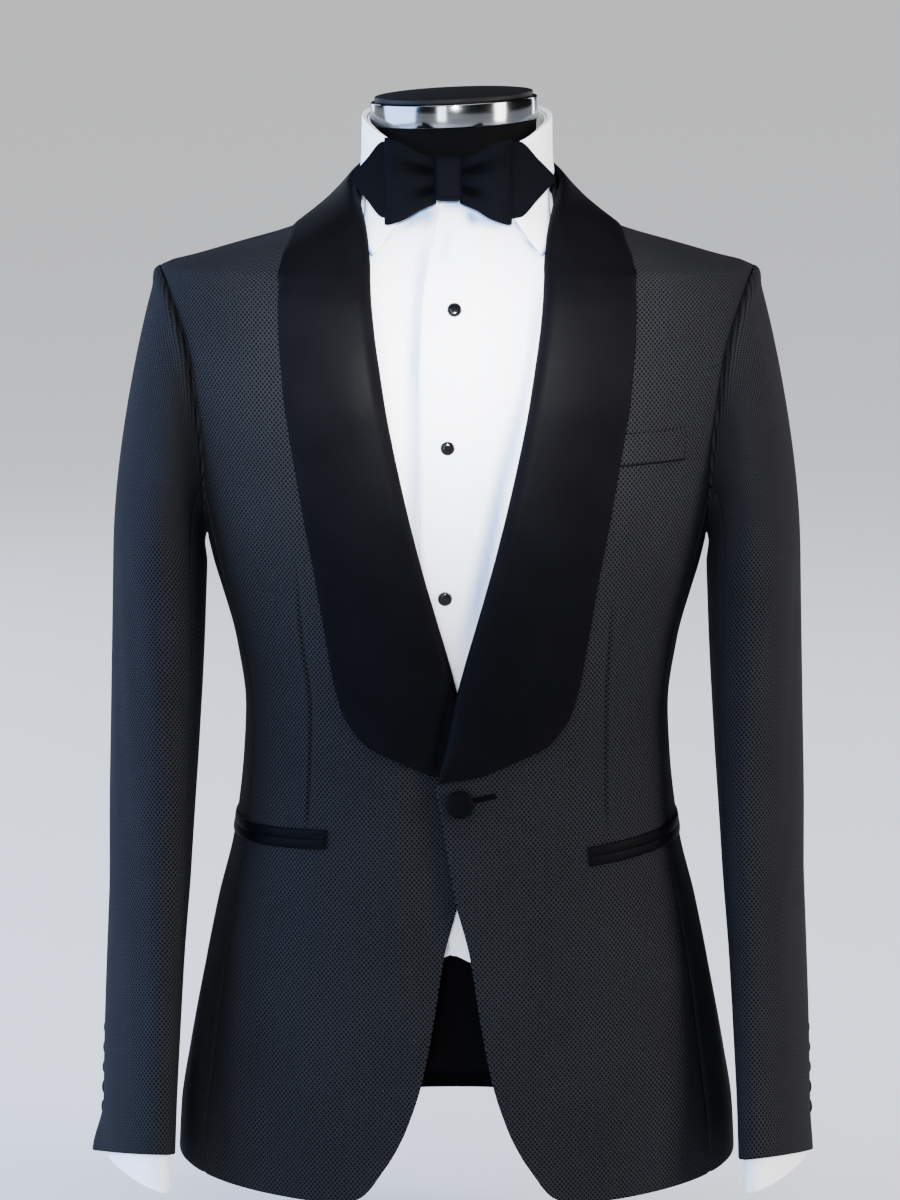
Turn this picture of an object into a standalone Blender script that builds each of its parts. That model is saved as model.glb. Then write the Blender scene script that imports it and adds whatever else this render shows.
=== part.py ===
# A one-button shawl-collar dinner jacket over a dress shirt and bow tie, on a limbless dress form.
# +X is the wearer's left, -Y the front, +Z up. The origin is under the middle of the form's base.
# Tables and constants are in millimetres and degrees. A "turn" is the angle round the body from
# the front, positive to the wearer's left; a "lift" is the distance out from the jacket's face.
import bisect
import math

import bmesh
import bpy
from mathutils import Matrix, Vector

MM = 0.001
SEAM_GAP = 0.3
CLOTH_WALL = 2.0
SATIN_WALL = 2.0
UNDER_COLLAR_WALL = 1.5
SHIRT_WALL = 1.2
WELT_WALL = 1.2
JET_WALL = 1.1
BOW_WALL = 1.4
BOW_BAND_WALL = 1.0

SIDES = ((1, "l"), (-1, "r"))


def table(columns, *rows):
    return [dict(zip(columns.split(), row)) for row in rows]


# The jacket's outer face, as rings: how far it reaches to the side, front and back, and how
# square the ring is. Above 781 the rings close over the shoulders to the neck.
BODY = table(
    "height side front back square",
    (85, 214.5, 134.5, 126, 2.35),
    (135, 212, 132, 125, 2.35),
    (180, 205, 129, 122, 2.35),
    (254, 191, 125, 116, 2.35),
    (300, 181, 122, 111, 2.3),
    (350, 168.5, 118, 103, 2.3),
    (411, 161.5, 113, 92, 2.3),
    (450, 160, 111, 87, 2.3),
    (500, 166.5, 113, 88, 2.3),
    (560, 183, 118, 96, 2.35),
    (610, 194, 121, 104, 2.4),
    (680, 208.5, 119, 111, 2.4),
    (725, 217, 112, 112, 2.33),
    (762, 222, 103, 108, 2.22),
    (781, 221, 96, 104, 2.1),
    (788, 197, 93, 102, 2.12),
    (797, 165, 89, 99, 2.2),
    (806, 133, 85, 96, 2.15),
    (818, 101, 79, 91, 2.1),
    (829, 82, 73, 86, 2.05),
    (842, 71, 68, 80, 2.0),
    (855, 68, 65, 77, 2.1),
    (875, 66.5, 63, 76, 2.15),
    (905, 66, 62, 75, 2.15),
)

HEM = 92
# How far the hem has risen at the side seams, and from there to the middle of the back.
HEM_SIDE_RISE = 11
HEM_BACK_RISE = 6
# The turn of the seam between a front and its side panel at the hem.
SIDE_SEAM_HEM = 70

# The armhole: a tall loop on the jacket's face, round the side at turn 90.
ARMHOLE_TOP = 781
ARMHOLE_LOW = 578
ARMHOLE_TURN = 17
ARM_STEP = 18
SEAM_TRIM = 0.4
SIDE_SEAM_ARM = 126

# How far past the centre each front's edge reaches, to its own side; the same table serves the
# cutaway below the button and the fold line of the lapel above it.
FRONT_EDGE = table(
    "height across",
    (92, 86),
    (97, 73),
    (105, 65),
    (113, 59.5),
    (128, 49.5),
    (149, 39),
    (184, 27.5),
    (230, 18.5),
    (283, 10),
    (321, 0),
    (361, -7),
    (392, -12),
    (409, -15),
    (431, -10),
    (450, -6),
    (469, -2),
    (495, 4.5),
    (525, 13),
    (559, 22.5),
    (592, 31),
    (658, 46),
    (702, 54),
    (739, 59.5),
    (797, 65.5),
    (830, 68),
)

# The lapel hangs this far over the edge of the front behind it.
LAPEL_OVERHANG = 4
# How far the wearer's right front sinks under the left one, and where that fades out: across
# towards its own side, down the skirt and up the chest.
UNDER_DROP = 5.6
UNDER_ACROSS = (-52, -16)
UNDER_SKIRT = (190, 300)
UNDER_CHEST = (490, 600)
# The right lapel's face stays below this lift where the left one covers it.
UNDER_LAPEL_LIFT = -2.9

# Shawl collar, from its low end by the button up to the shoulder: fold line and outer edge.
LAPEL_FRONT = table(
    "fold_across fold_height edge_across edge_height",
    (-14.5, 410, -9, 411),
    (-12, 421, 15, 415),
    (-10, 431, 41, 425),
    (-6, 450, 67, 438),
    (-2, 469, 83, 461),
    (4.5, 495, 90, 487),
    (13, 525, 95, 517),
    (22.5, 559, 100.5, 551),
    (31, 592, 107, 588),
    (46, 658, 118.5, 654),
    (54, 702, 125, 697),
    (59.5, 739, 128, 731),
    (62.5, 770, 129, 758),
    (63.5, 797, 128.5, 776),
)
# The same two lines from the shoulder to the centre of the back, by their turn.
LAPEL_NECK = table(
    "fold_turn fold_height edge_turn edge_height",
    (45, 815, 60.5, 789),
    (58, 828, 65.5, 800),
    (75, 838, 78, 808.5),
    (94, 846, 95, 812.5),
    (115, 854, 116, 813),
    (135, 862, 136, 812),
    (157, 868, 157, 809),
    (180, 871, 180, 807),
)
# Across the collar, from before its fold to its outer edge: how far it stands off the chest,
# and how far round the neck.
LAPEL_ROLL = table(
    "share chest neck",
    (0, -0.6, 7.8),
    (0.025, 2.0, 9.4),
    (0.07, 4.4, 10.2),
    (0.16, 6.2, 10),
    (0.32, 6.6, 9.2),
    (0.5, 6.2, 8.2),
    (0.68, 5.5, 7),
    (0.85, 4.7, 5.6),
    (1, 4.1, 4.1),
)
# The collar takes up the neck's roll over this many of the neck's rows.
NECK_EASE = 5
LAPEL_FLAT = 2.5
LAPEL_FULL_WIDTH = 60
UNDER_COLLAR_TURNS = (112, 248)
UNDER_COLLAR_LOW = 843
UNDER_COLLAR_LIFTS = (1.2, 6.7)

# Jacket sleeve below the armhole, as flat rings: middle, half length and half thickness, how far
# the ring's front end turns in towards the body, and how far the ring tips up at the front.
SLEEVE = table(
    "height across along long short turn tilt",
    (116, 241.5, -66, 63, 22.5, 20, 16),
    (150, 240.5, -57, 63.5, 23, 19.5, 15.5),
    (200, 239, -45, 65, 24.5, 18.5, 14),
    (262, 236.5, -31, 68, 26, 17, 12),
    (320, 233.5, -19, 70.5, 28.5, 15, 10),
    (380, 231, -9, 73, 31, 13, 7),
    (440, 228.5, -2, 76, 33, 11, 3),
    (500, 226, 1, 80, 34.5, 9, 1),
    (556, 224, 2, 84, 35.5, 6, 0),
)
SLEEVE_TOP = 556
SLEEVE_HEM = 116
UNDER_SLEEVE = (126, 252)
CUFF_LOW = 93
CUFF_HIGH = 158
CUFF_TILT = 8

SHIRT_LIFT = -9.5
SHIRT_SHOULDER = (730, 785)
SHOULDER_SHIRT_LIFT = -4.4
SHIRT_HEM = 275
SHIRT_NOTCH = 6
# The shirt's right front reaches this far under the left, and sinks by this much there.
SHIRT_UNDER_ACROSS = -16
SHIRT_UNDER_DROP = 2
# The shirt's sleeve inside the jacket's, and its cuff, by how much smaller they are.
SHIRT_SLEEVE = {"sunk": 9.5, "shrink": 5, "smaller": 6, "reach": 30}
CUFF_SMALLER = 4.4
# The edge of the shirt's left front, which closes over the right.
SHIRT_EDGE = table(
    "height across",
    (SHIRT_HEM, -4),
    (321, -12),
    (455, -25),
    (560, -27),
    (720, -27),
    (767, -25),
    (806, -19),
    (842, -12),
)
FORM_LIFT = -14.5
SHOULDER_FORM_LIFT = -7.6
FORM_SHOULDER = (740, 788)
FORM_LOW = 190
# The form stands back further where the shirt's fronts overlap, and across the back.
FORM_FRONT_DROP = 2.5
FORM_BACK_DROP = 2.4

# Turned-down shirt collar: top of the fold and the leaf's lower edge round the neck.
COLLAR_TOP = table(
    "turn height",
    (0, 862),
    (20, 867),
    (45, 878),
    (75, 889),
    (110, 894),
    (180, 897),
)
COLLAR_LEAF = table(
    "turn low_turn low_height lift",
    (21, 36.5, 797, -2.2),
    (36, 46, 814, -1.9),
    (54, 62, 833, -0.8),
    (72, 76, 845, 2.2),
    (90, 90, 851, 3.8),
    (130, 130, 857, 4.4),
    (180, 180, 861, 4.4),
)
COLLAR_TURNS = (21, 36, 54, 72, 90, 108, 126, 144, 162, 180)
NECK_TURNS = range(0, 360, 18)
LEAF_LIFT = 4.4
STAND_LOW = 842.7

STUDS = ((-2, 761), (-7, 660), (-9, 547))
STUD_RADIUS = 4.6
BUTTON_ACROSS = 2
BUTTON_HEIGHT = 395
BUTTON_RADIUS = 11
CUFF_BUTTON_RADIUS = 6.9
CUFF_BUTTON_RISE = 30
CUFF_BUTTON_STEP = 14.4
CUFF_BUTTON_PSI = 292
CUFF_BUTTONS = 5

POCKET_TURNS = (44, 100)
# Each hip pocket's height at its front end and at its side end.
POCKET_HEIGHTS = {"l": (352, 358), "r": (365, 359)}
POCKET_JET = 6.8
JET_LIFT = 2.1
WELT_TURNS = (47, 64.3)
WELT_LOW = 643
WELT_TIP = 6
WELT_TALL = 24
WELT_LIFT = 1.6

BOW_MIDDLE = -6.5
BOW_HEIGHT = 853
BOW_KNOT = (21.5, 17, 33)
BOW_FRONT = -81.9
BOW_BAND_LOW = 21
BOW_BAND_TALL = 15
BOW_BAND_LIFT = 1.8
# Where the sheets start, just clear of the knot.
BOW_ROOT = 11.1
# Half of the bow, as a sheet standing on edge, from the knot outwards: the loop goes out and
# comes back behind itself, and the pointed end lies behind the loop.
BOW_LOOP = table(
    "across back half_tall",
    (BOW_ROOT, 1, 13),
    (20, -2, 18),
    (30, -3.5, 25),
    (40, -2.5, 30),
    (45, 0, 31),
    (46.5, 3, 31),
    (45, 5.5, 31),
    (34, 6, 27),
    (22, 5.5, 19),
    (BOW_ROOT, 4.5, 13),
)
# How much longer each pointed end is than the table says.
BOW_END_REACH = {"l": 1.12, "r": 1}
BOW_END = table(
    "across back half_tall",
    (BOW_ROOT, 6.2, 12),
    (24, 7.4, 21),
    (38, 8.2, 28),
    (48, 9.5, 27),
    (60, 13, 14),
    (70, 18, 2.5),
)

RING_RADIUS = 62
RING_HIGH = 17
RING_MIDDLE = Vector((-2, 5, 896))
RING_TILT = 2.6

POST_ACROSS = 95
POST_RADIUS = 7
BASE_THICK = 10
BASE_HALF = (185, 112)


def column(rows, key, name):
    """A smooth reading of one column of a table, with no overshoot between its rows."""
    keys = [row[key] for row in rows]
    values = [row[name] for row in rows]
    count = len(keys)
    steps = [(values[i + 1] - values[i]) / (keys[i + 1] - keys[i]) for i in range(count - 1)]
    slopes = [steps[0]]
    for before, after in zip(steps, steps[1:]):
        slopes.append(0 if before * after <= 0 else 2 * before * after / (before + after))
    slopes.append(steps[-1])

    def read(at):
        at = min(max(at, keys[0]), keys[-1])
        i = min(max(bisect.bisect_right(keys, at) - 1, 0), count - 2)
        span = keys[i + 1] - keys[i]
        t = (at - keys[i]) / span
        start = values[i] * (1 + 2 * t) * (1 - t) ** 2 + slopes[i] * span * t * (1 - t) ** 2
        end = values[i + 1] * t * t * (3 - 2 * t) - slopes[i + 1] * span * t * t * (1 - t)
        return start + end

    return read


def smooth(at, low, high):
    t = min(max((at - low) / (high - low), 0), 1)
    return t * t * (3 - 2 * t)


def mix(a, b, share):
    return a + (b - a) * share


def spread(low, high, count):
    return [mix(low, high, i / (count - 1)) for i in range(count)]


body_side, body_front, body_back, body_square = (
    column(BODY, "height", name) for name in ("side", "front", "back", "square")
)
front_edge = column(FRONT_EDGE, "height", "across")
collar_top = column(COLLAR_TOP, "turn", "height")


def body_ring(turn, height):
    angle = math.radians(turn)
    across, ahead = math.sin(angle), math.cos(angle)
    deep = body_front(height) if ahead > 0 else body_back(height)
    power = body_square(height)
    reach = (abs(across / body_side(height)) ** power + abs(ahead / deep) ** power) ** (-1 / power)
    return Vector((across * reach, -ahead * reach, height))


def on_body(turn, height, lift):
    """The point at this turn and height, moved out from the jacket's face."""
    across = body_ring(turn + 1, height) - body_ring(turn - 1, height)
    up = body_ring(turn, height + 1.5) - body_ring(turn, height - 1.5)
    return body_ring(turn, height) + across.cross(up).normalized() * lift


def turn_at(across, height):
    """The turn of the point on the front that lies this far to the wearer's left."""
    power = body_square(height)
    share = min(abs(across) / body_side(height), 1)
    ahead = body_front(height) * (1 - share**power) ** (1 / power)
    return math.degrees(math.atan2(across, ahead))


def swing_of(turn, height):
    """The turn as an angle that steps evenly along the ring, however flat the ring is."""
    spot = body_ring(turn, height)
    share = min(abs(spot.x) / body_side(height), 1)
    swing = math.degrees(math.asin(share ** (body_square(height) / 2)))
    return swing if spot.y <= 0 else 180 - swing


def turn_between(first, last, share, height):
    """The turn this share of the way along the ring between two turns on the wearer's left."""
    swing = math.radians(mix(swing_of(first, height), swing_of(last, height), share))
    power = 2 / body_square(height)
    ahead = math.cos(swing)
    deep = body_front(height) if ahead > 0 else body_back(height)
    across = body_side(height) * abs(math.sin(swing)) ** power
    return math.degrees(math.atan2(across, math.copysign(abs(ahead) ** power * deep, ahead)))


def turn_along(edge, outer, share, height):
    """Like turn_between, but the first turn may lie on the other side of the centre."""
    if edge >= 0:
        return turn_between(edge, outer, share, height)
    back = edge * (1 - share) ** 3
    return back + turn_between(0, outer, share, height)


def hem_rise(turn, height):
    """The hem rises from the front to the side seams and on to the back; this fades up the skirt."""
    rise = HEM_SIDE_RISE * smooth(turn, 30, 95) + HEM_BACK_RISE * smooth(turn, 95, 180)
    return rise * (1 - smooth(height, HEM, 230))


def arm_height(psi):
    middle = (ARMHOLE_TOP + ARMHOLE_LOW) / 2
    return middle + (ARMHOLE_TOP - middle) * math.cos(math.radians(psi))


def arm_turn(psi):
    return 90 - ARMHOLE_TURN * math.sin(math.radians(psi))


def arm_psi(height):
    middle = (ARMHOLE_TOP + ARMHOLE_LOW) / 2
    return math.degrees(math.acos(min(max((height - middle) / (ARMHOLE_TOP - middle), -1), 1)))


def gap_turn(height):
    """Half a seam's gap, as degrees round the ring at this height."""
    return math.degrees(SEAM_GAP / 2 / body_side(height))


SEAM_JOIN = arm_height(SIDE_SEAM_ARM)


def seam_turn(height):
    """The seam between a front and its side panel; the one behind is its mirror about 90."""
    return mix(SIDE_SEAM_HEM, arm_turn(SIDE_SEAM_ARM), smooth(height, HEM, SEAM_JOIN))


def outer_turn(height):
    """Where a front ends: at the side seam, then the armhole, then the shoulder seam."""
    if height <= SEAM_JOIN:
        return seam_turn(height) - gap_turn(height)
    if height < ARMHOLE_TOP:
        return arm_turn(arm_psi(height)) - gap_turn(height)
    return 90 - gap_turn(height)


ARM_ROWS = [arm_height(psi) for psi in range(SIDE_SEAM_ARM, -1, -ARM_STEP)]
SKIRT_ROWS = [105, 122, 149, 184, 230, 275, 321]
WAIST_ROWS = [350, 385, 420, 460, 500, 540, 580]
PANEL_ROWS = [HEM, 149, 184, 230, 275, 321] + WAIST_ROWS
SHOULDER_ROWS = [788, 797, 806, 818, 829, 842]


def make_material(name, color, roughness, metallic=0.0):
    material = bpy.data.materials.new(name)
    material.use_nodes = True
    shader = material.node_tree.nodes["Principled BSDF"]
    shader.inputs["Base Color"].default_value = (*color, 1)
    shader.inputs["Roughness"].default_value = roughness
    shader.inputs["Metallic"].default_value = metallic
    material.diffuse_color = (*color, 1)
    return material


def clear_scene():
    for item in list(bpy.data.objects):
        bpy.data.objects.remove(item, do_unlink=True)


def finish(name, mesh, material, sharp=40):
    """Turns the faces out, moves from millimetres to metres and adds the object."""
    bmesh.ops.recalc_face_normals(mesh, faces=mesh.faces)
    bmesh.ops.scale(mesh, vec=(MM, MM, MM), verts=mesh.verts)
    data = bpy.data.meshes.new(name)
    if mesh.calc_volume(signed=True) < 0:
        bmesh.ops.reverse_faces(mesh, faces=mesh.faces)
    mesh.to_mesh(data)
    mesh.free()
    data.materials.append(material)
    data.shade_smooth()
    data.set_sharp_from_angle(angle=math.radians(sharp))
    made = bpy.data.objects.new(name, data)
    bpy.context.scene.collection.objects.link(made)
    return made


def wall(name, material, outer, inner, wrap=False):
    """A closed wall between two like grids of points; wrap joins the last column to the first."""
    mesh = bmesh.new()
    rows, columns = len(outer), len(outer[0])
    faces_of = []
    for grid in (outer, inner):
        faces_of.append([[mesh.verts.new(point) for point in row] for row in grid])
    steps = columns if wrap else columns - 1
    for i in range(rows - 1):
        for j in range(steps):
            k = (j + 1) % columns
            for side in faces_of:
                mesh.faces.new((side[i][j], side[i][k], side[i + 1][k], side[i + 1][j]))
    out, ins = faces_of
    for j in range(steps):
        k = (j + 1) % columns
        for i in (0, rows - 1):
            mesh.faces.new((out[i][j], out[i][k], ins[i][k], ins[i][j]))
    if not wrap:
        for i in range(rows - 1):
            for j in (0, columns - 1):
                mesh.faces.new((out[i][j], out[i + 1][j], ins[i + 1][j], ins[i][j]))
    return finish(name, mesh, material)


def body_wall(name, material, spot, columns, rows, lift, thick, wrap=False):
    """A wall on the body: spot gives (turn, height) and lift its outer face for (column, row)."""
    outer, inner = [], []
    for row in rows:
        spots = [(*spot(at, row), lift(at, row)) for at in columns]
        outer.append([on_body(turn, height, out) for turn, height, out in spots])
        inner.append([on_body(turn, height, out - thick) for turn, height, out in spots])
    return wall(name, material, outer, inner, wrap)


def grid_normals(points):
    """The direction across the sheet at each point, from its neighbours."""
    found = []
    for i, row in enumerate(points):
        line = []
        for j, _ in enumerate(row):
            left, right = max(j - 1, 0), min(j + 1, len(row) - 1)
            low, high = max(i - 1, 0), min(i + 1, len(points) - 1)
            across = row[right] - row[left]
            up = points[high][j] - points[low][j]
            line.append(across.cross(up).normalized())
        found.append(line)
    return found


def sheet_wall(name, material, points, thick, centred=False):
    """A wall behind a grid of points whose columns run to the wearer's left across the front; a
    centred one has its last row along the middle of the back."""
    normals = grid_normals(points)
    if centred:
        normals[-1] = [Vector((0, normal.y, normal.z)).normalized() for normal in normals[-1]]
    inner = [
        [point - normal * thick for point, normal in zip(row, line)]
        for row, line in zip(points, normals)
    ]
    return wall(name, material, points, inner)


def flip_rows(points):
    return [list(reversed(row)) for row in points]


def turned(name, material, profile, place, segments=24):
    """A round piece from (radius, height) pairs whose first and last radius are 0."""
    mesh = bmesh.new()
    rings = []
    for radius, height in profile:
        if radius == 0:
            rings.append([mesh.verts.new(place @ Vector((0, 0, height)))])
            continue
        ring = []
        for i in range(segments):
            angle = math.tau * i / segments
            point = Vector((radius * math.cos(angle), radius * math.sin(angle), height))
            ring.append(mesh.verts.new(place @ point))
        rings.append(ring)
    for low, high in zip(rings, rings[1:]):
        for i in range(segments):
            k = (i + 1) % segments
            corners = [low[i % len(low)], low[k % len(low)], high[k % len(high)], high[i % len(high)]]
            mesh.faces.new(list(dict.fromkeys(corners)))
    return finish(name, mesh, material)


def stacked(name, material, rings):
    """A closed body from a stack of like rings."""
    mesh = bmesh.new()
    loops = [[mesh.verts.new(point) for point in ring] for ring in rings]
    for low, high in zip(loops, loops[1:]):
        for i in range(len(low)):
            k = (i + 1) % len(low)
            mesh.faces.new((low[i], low[k], high[k], high[i]))
    mesh.faces.new(loops[0])
    mesh.faces.new(loops[-1])
    return finish(name, mesh, material)


def soft_oblong(middle, half_wide, half_deep, count):
    """A flat ring between an ellipse and a rectangle."""
    ring = []
    for i in range(count):
        angle = math.tau * i / count
        across, along = math.cos(angle), math.sin(angle)
        reach = (abs(across) ** 3 + abs(along) ** 3) ** (-1 / 3)
        ring.append(middle + Vector((half_wide * across * reach, half_deep * along * reach, 0)))
    return ring


def facing(point, normal):
    """A place whose +Z looks along the normal."""
    return Matrix.Translation(point) @ normal.to_track_quat("Z", "Y").to_matrix().to_4x4()


def under_lift(side, across, height):
    """How far the wearer's right front sinks so that the left one can close over it."""
    if side > 0:
        return 0
    upward = smooth(height, *UNDER_SKIRT) * (1 - smooth(height, *UNDER_CHEST))
    return -UNDER_DROP * smooth(across, *UNDER_ACROSS) * upward


def jacket_front(side, name, material):
    rows = [HEM, 97] + SKIRT_ROWS + WAIST_ROWS + ARM_ROWS + SHOULDER_ROWS

    def spot(at, row):
        edge = turn_at(front_edge(row) + LAPEL_OVERHANG * smooth(row, 405, 420), row)
        turn = turn_along(edge, outer_turn(row), at, row)
        return side * turn, row + hem_rise(turn, row)

    def lift(at, row):
        turn, height = spot(at, row)
        return under_lift(side, body_ring(turn, height).x, height)

    columns = [0, 0.1, 0.24, 0.38, 0.52, 0.66, 0.79, 0.9, 1]
    body_wall(name, material, spot, columns, rows, lift, CLOTH_WALL)


def jacket_side(side, name, material):
    turns = [arm_turn(psi) for psi in range(SIDE_SEAM_ARM, 361 - SIDE_SEAM_ARM, ARM_STEP)]
    tops = [arm_height(psi) for psi in range(SIDE_SEAM_ARM, 361 - SIDE_SEAM_ARM, ARM_STEP)]
    first, last = turns[0], turns[-1]
    rows = [(height - HEM) / (SEAM_JOIN - HEM) for height in PANEL_ROWS] + [1]

    def spot(at, row):
        share = (turns[at] - first) / (last - first)
        height = mix(HEM, tops[at] - SEAM_GAP, row)
        seam = seam_turn(height) + gap_turn(height)
        turn = turn_between(seam, 180 - seam, share, height)
        return side * turn, height + hem_rise(turn, height)

    body_wall(name, material, spot, range(len(turns)), rows, lambda at, row: 0, CLOTH_WALL)


def jacket_back(side, name, material):
    rows = PANEL_ROWS + ARM_ROWS + SHOULDER_ROWS

    def spot(at, row):
        turn = turn_between(180 - gap_turn(row), 180 - outer_turn(row), at, row)
        return side * turn, row + hem_rise(turn, row)

    columns = [0, 0.17, 0.34, 0.51, 0.67, 0.82, 0.93, 1]
    body_wall(name, material, spot, columns, rows, lambda at, row: 0, CLOTH_WALL)


def sleeve_reader():
    names = ("across", "along", "long", "short", "turn", "tilt")
    return {name: column(SLEEVE, "height", name) for name in names}


sleeve_at = sleeve_reader()


def sleeve_ring(psi, height, smaller=0, tilt=None):
    """A point of the sleeve's ring on the wearer's left: 0 is outward, 90 the front."""
    angle = math.radians(psi)
    turn = math.radians(sleeve_at["turn"](height))
    outward = Vector((math.cos(turn), -math.sin(turn), 0))
    ahead = Vector((-math.sin(turn), -math.cos(turn), 0))
    long = sleeve_at["long"](height) - smaller
    short = sleeve_at["short"](height) - smaller
    offset = outward * short * math.cos(angle) + ahead * long * math.sin(angle)
    tip = math.tan(math.radians(sleeve_at["tilt"](height) if tilt is None else tilt))
    offset.z = -offset.y * tip
    middle = Vector((sleeve_at["across"](height), sleeve_at["along"](height), height))
    return middle + offset


def sleeve_root(psi, sunk, shrink):
    """A point of the armhole's loop, sunk below the jacket's face and drawn in by shrink."""
    angle = math.radians(psi)
    height = arm_height(psi) - shrink * math.cos(angle)
    turn = arm_turn(psi) + math.degrees(shrink / body_side(height)) * math.sin(angle)
    return on_body(turn, height, -sunk)


def sleeve_point(psi, level, sunk=0, shrink=SEAM_GAP, smaller=0, reach=0):
    """The sleeve's face: level 0 to 1 is the head, from the armhole to a ring below the arm,
    and above 1 it is the height of a ring, counted down in steps of one from the top one."""
    if level > 1:
        height = mix(SLEEVE_TOP, SLEEVE_HEM, level - 1)
        return sleeve_ring(psi, height, smaller)
    angle = math.radians(psi)
    start = sleeve_root(psi, sunk, shrink + 0.15 * reach * (1 - math.cos(angle)))
    end = sleeve_ring(psi, SLEEVE_TOP, smaller)
    out = Vector((11 - 3 * math.cos(angle) + 26 * math.sin(angle) ** 2, -30 * math.sin(angle), 0))
    out.z = 6 + 18 * math.cos(angle) - 26 * math.sin(angle) ** 2
    out += reach * (1 - math.cos(angle)) * Vector((0.5, 0, 0.25))
    down = Vector((0, 0, -1.3 * (start.z - end.z)))
    t = level
    point = start * (1 + 2 * t) * (1 - t) ** 2 + out * t * (1 - t) ** 2
    return point + end * t * t * (3 - 2 * t) - down * t * t * (1 - t)


def sleeve_normal(psi, level, **inner):
    ahead = sleeve_point(psi + 2, level, **inner) - sleeve_point(psi - 2, level, **inner)
    low, high = max(level - 0.01, 0), level + 0.01
    down = sleeve_point(psi, high, **inner) - sleeve_point(psi, low, **inner)
    return ahead.cross(down).normalized()


def mirror_x(point):
    return Vector((-point.x, point.y, point.z))


def own_side(side, grid):
    return grid if side > 0 else [[mirror_x(point) for point in row] for row in grid]


HEAD_LEVELS = [0, 0.08, 0.2, 0.36, 0.55, 0.77, 1]
ARM_LEVELS = [1.17, 1.34, 1.51, 1.68, 1.84, 2]


def tube_wall(side, name, material, psis, levels, thick, **inner):
    outer, inside = [], []
    for level in levels:
        faces = [(sleeve_point(p, level, **inner), sleeve_normal(p, level, **inner)) for p in psis]
        outer.append([point for point, _ in faces])
        inside.append([point - normal * thick for point, normal in faces])
    return wall(name, material, own_side(side, outer), own_side(side, inside))


def seam_psis(start, end):
    """Steps round the sleeve from one seam to the next, short of each by half the gap."""
    count = round((end - start) / ARM_STEP)
    psis = [start + ARM_STEP * i for i in range(count + 1)]
    psis[0] += SEAM_TRIM
    psis[-1] -= SEAM_TRIM
    return psis


def jacket_sleeve(side, suffix, material):
    levels = HEAD_LEVELS + ARM_LEVELS
    low, high = UNDER_SLEEVE
    top = seam_psis(high - 360, low)
    under = seam_psis(low, high)
    tube_wall(side, "jacket_sleeve_top_" + suffix, material, top, levels, CLOTH_WALL)
    tube_wall(side, "jacket_sleeve_under_" + suffix, material, under, levels, CLOTH_WALL)


def lapel_lines():
    """Rows of (fold turn, fold height, edge turn, edge height, share of neck) up the collar."""
    rows = []
    for row in LAPEL_FRONT:
        fold = turn_at(row["fold_across"], row["fold_height"])
        edge = turn_at(row["edge_across"], row["edge_height"])
        rows.append([fold, row["fold_height"], edge, row["edge_height"], 0])
    for number, row in enumerate(LAPEL_NECK):
        share = min((number + 1) / NECK_EASE, 1)
        rows.append([row["fold_turn"], row["fold_height"], row["edge_turn"], row["edge_height"], share])
    rows[-1][0] = rows[-1][2] = 180 - gap_turn(842)
    return rows


lapel_chest, lapel_neck = (column(LAPEL_ROLL, "share", name) for name in ("chest", "neck"))
lapel_fold = column(LAPEL_FRONT, "fold_height", "fold_across")


def lapel_point(side, line, at):
    """The wearer's right lapel sinks where the left front and its lapel close over it."""
    fold_turn, fold_height, edge_turn, edge_height, share = line
    turn = mix(fold_turn, edge_turn, at)
    height = mix(fold_height, edge_height, at)
    wide = (on_body(edge_turn, edge_height, 0) - on_body(fold_turn, fold_height, 0)).length
    chest = mix(LAPEL_FLAT, lapel_chest(at), min(wide / LAPEL_FULL_WIDTH, 1))
    lift = mix(chest, lapel_neck(at), share)
    across = on_body(turn * side, height, 0).x
    lift += under_lift(side, across, height)
    if side < 0 and share == 0:
        past = lapel_fold(height) - across
        lift = min(lift, UNDER_LAPEL_LIFT + 14 * smooth(past, 3, 26))
    lying = on_body(turn * side, height, lift)
    if share == 0:
        return lying
    fold = on_body(fold_turn * side, fold_height, lapel_neck(at))
    edge = on_body(edge_turn * side, edge_height, lapel_neck(at))
    return lying.lerp(fold.lerp(edge, at), share * 0.75)


def shawl_collar(side, name, material):
    columns = [row["share"] for row in LAPEL_ROLL]
    points = [[lapel_point(side, line, at) for at in columns] for line in lapel_lines()]
    if side < 0:
        points = flip_rows(points)
    sheet_wall(name, material, points, SATIN_WALL, centred=True)


def under_collar(name, material):
    """The stand that holds the shawl collar up round the back of the neck."""
    fold = column(LAPEL_NECK, "fold_turn", "fold_height")

    def spot(at, row):
        turn = mix(*UNDER_COLLAR_TURNS, at)
        return turn, mix(UNDER_COLLAR_LOW, fold(180 - abs(turn - 180)) - 4.2, row)

    def lift(at, row):
        return mix(*UNDER_COLLAR_LIFTS, smooth(row, 0, 0.4))

    body_wall(name, material, spot, spread(0, 1, 13), [0, 0.4, 1], lift, UNDER_COLLAR_WALL)


def hip_pocket(side, suffix, material):
    """Two jets, one over the other, from the pocket's front end round to its side end."""
    front_height, side_height = POCKET_HEIGHTS[suffix]
    for part, base in (("upper", SEAM_GAP / 2), ("lower", -SEAM_GAP / 2 - POCKET_JET)):

        def spot(at, row, base=base):
            middle = mix(front_height, side_height, math.sin(math.pi / 2 * min(at * 1.2, 1)))
            return side * mix(*POCKET_TURNS, at), middle + base + POCKET_JET * row

        name = f"hip_pocket_{part}_jet_{suffix}"
        columns = spread(0, 1, 10)
        body_wall(name, material, spot, columns, [0, 1], lambda at, row: JET_LIFT, JET_WALL)


def breast_welt(name, material):
    def spot(at, row):
        return mix(*WELT_TURNS, at), WELT_LOW + WELT_TIP * at + WELT_TALL * row

    columns = spread(0, 1, 4)
    body_wall(name, material, spot, columns, [0, 0.5, 1], lambda at, row: WELT_LIFT, WELT_WALL)


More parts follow.
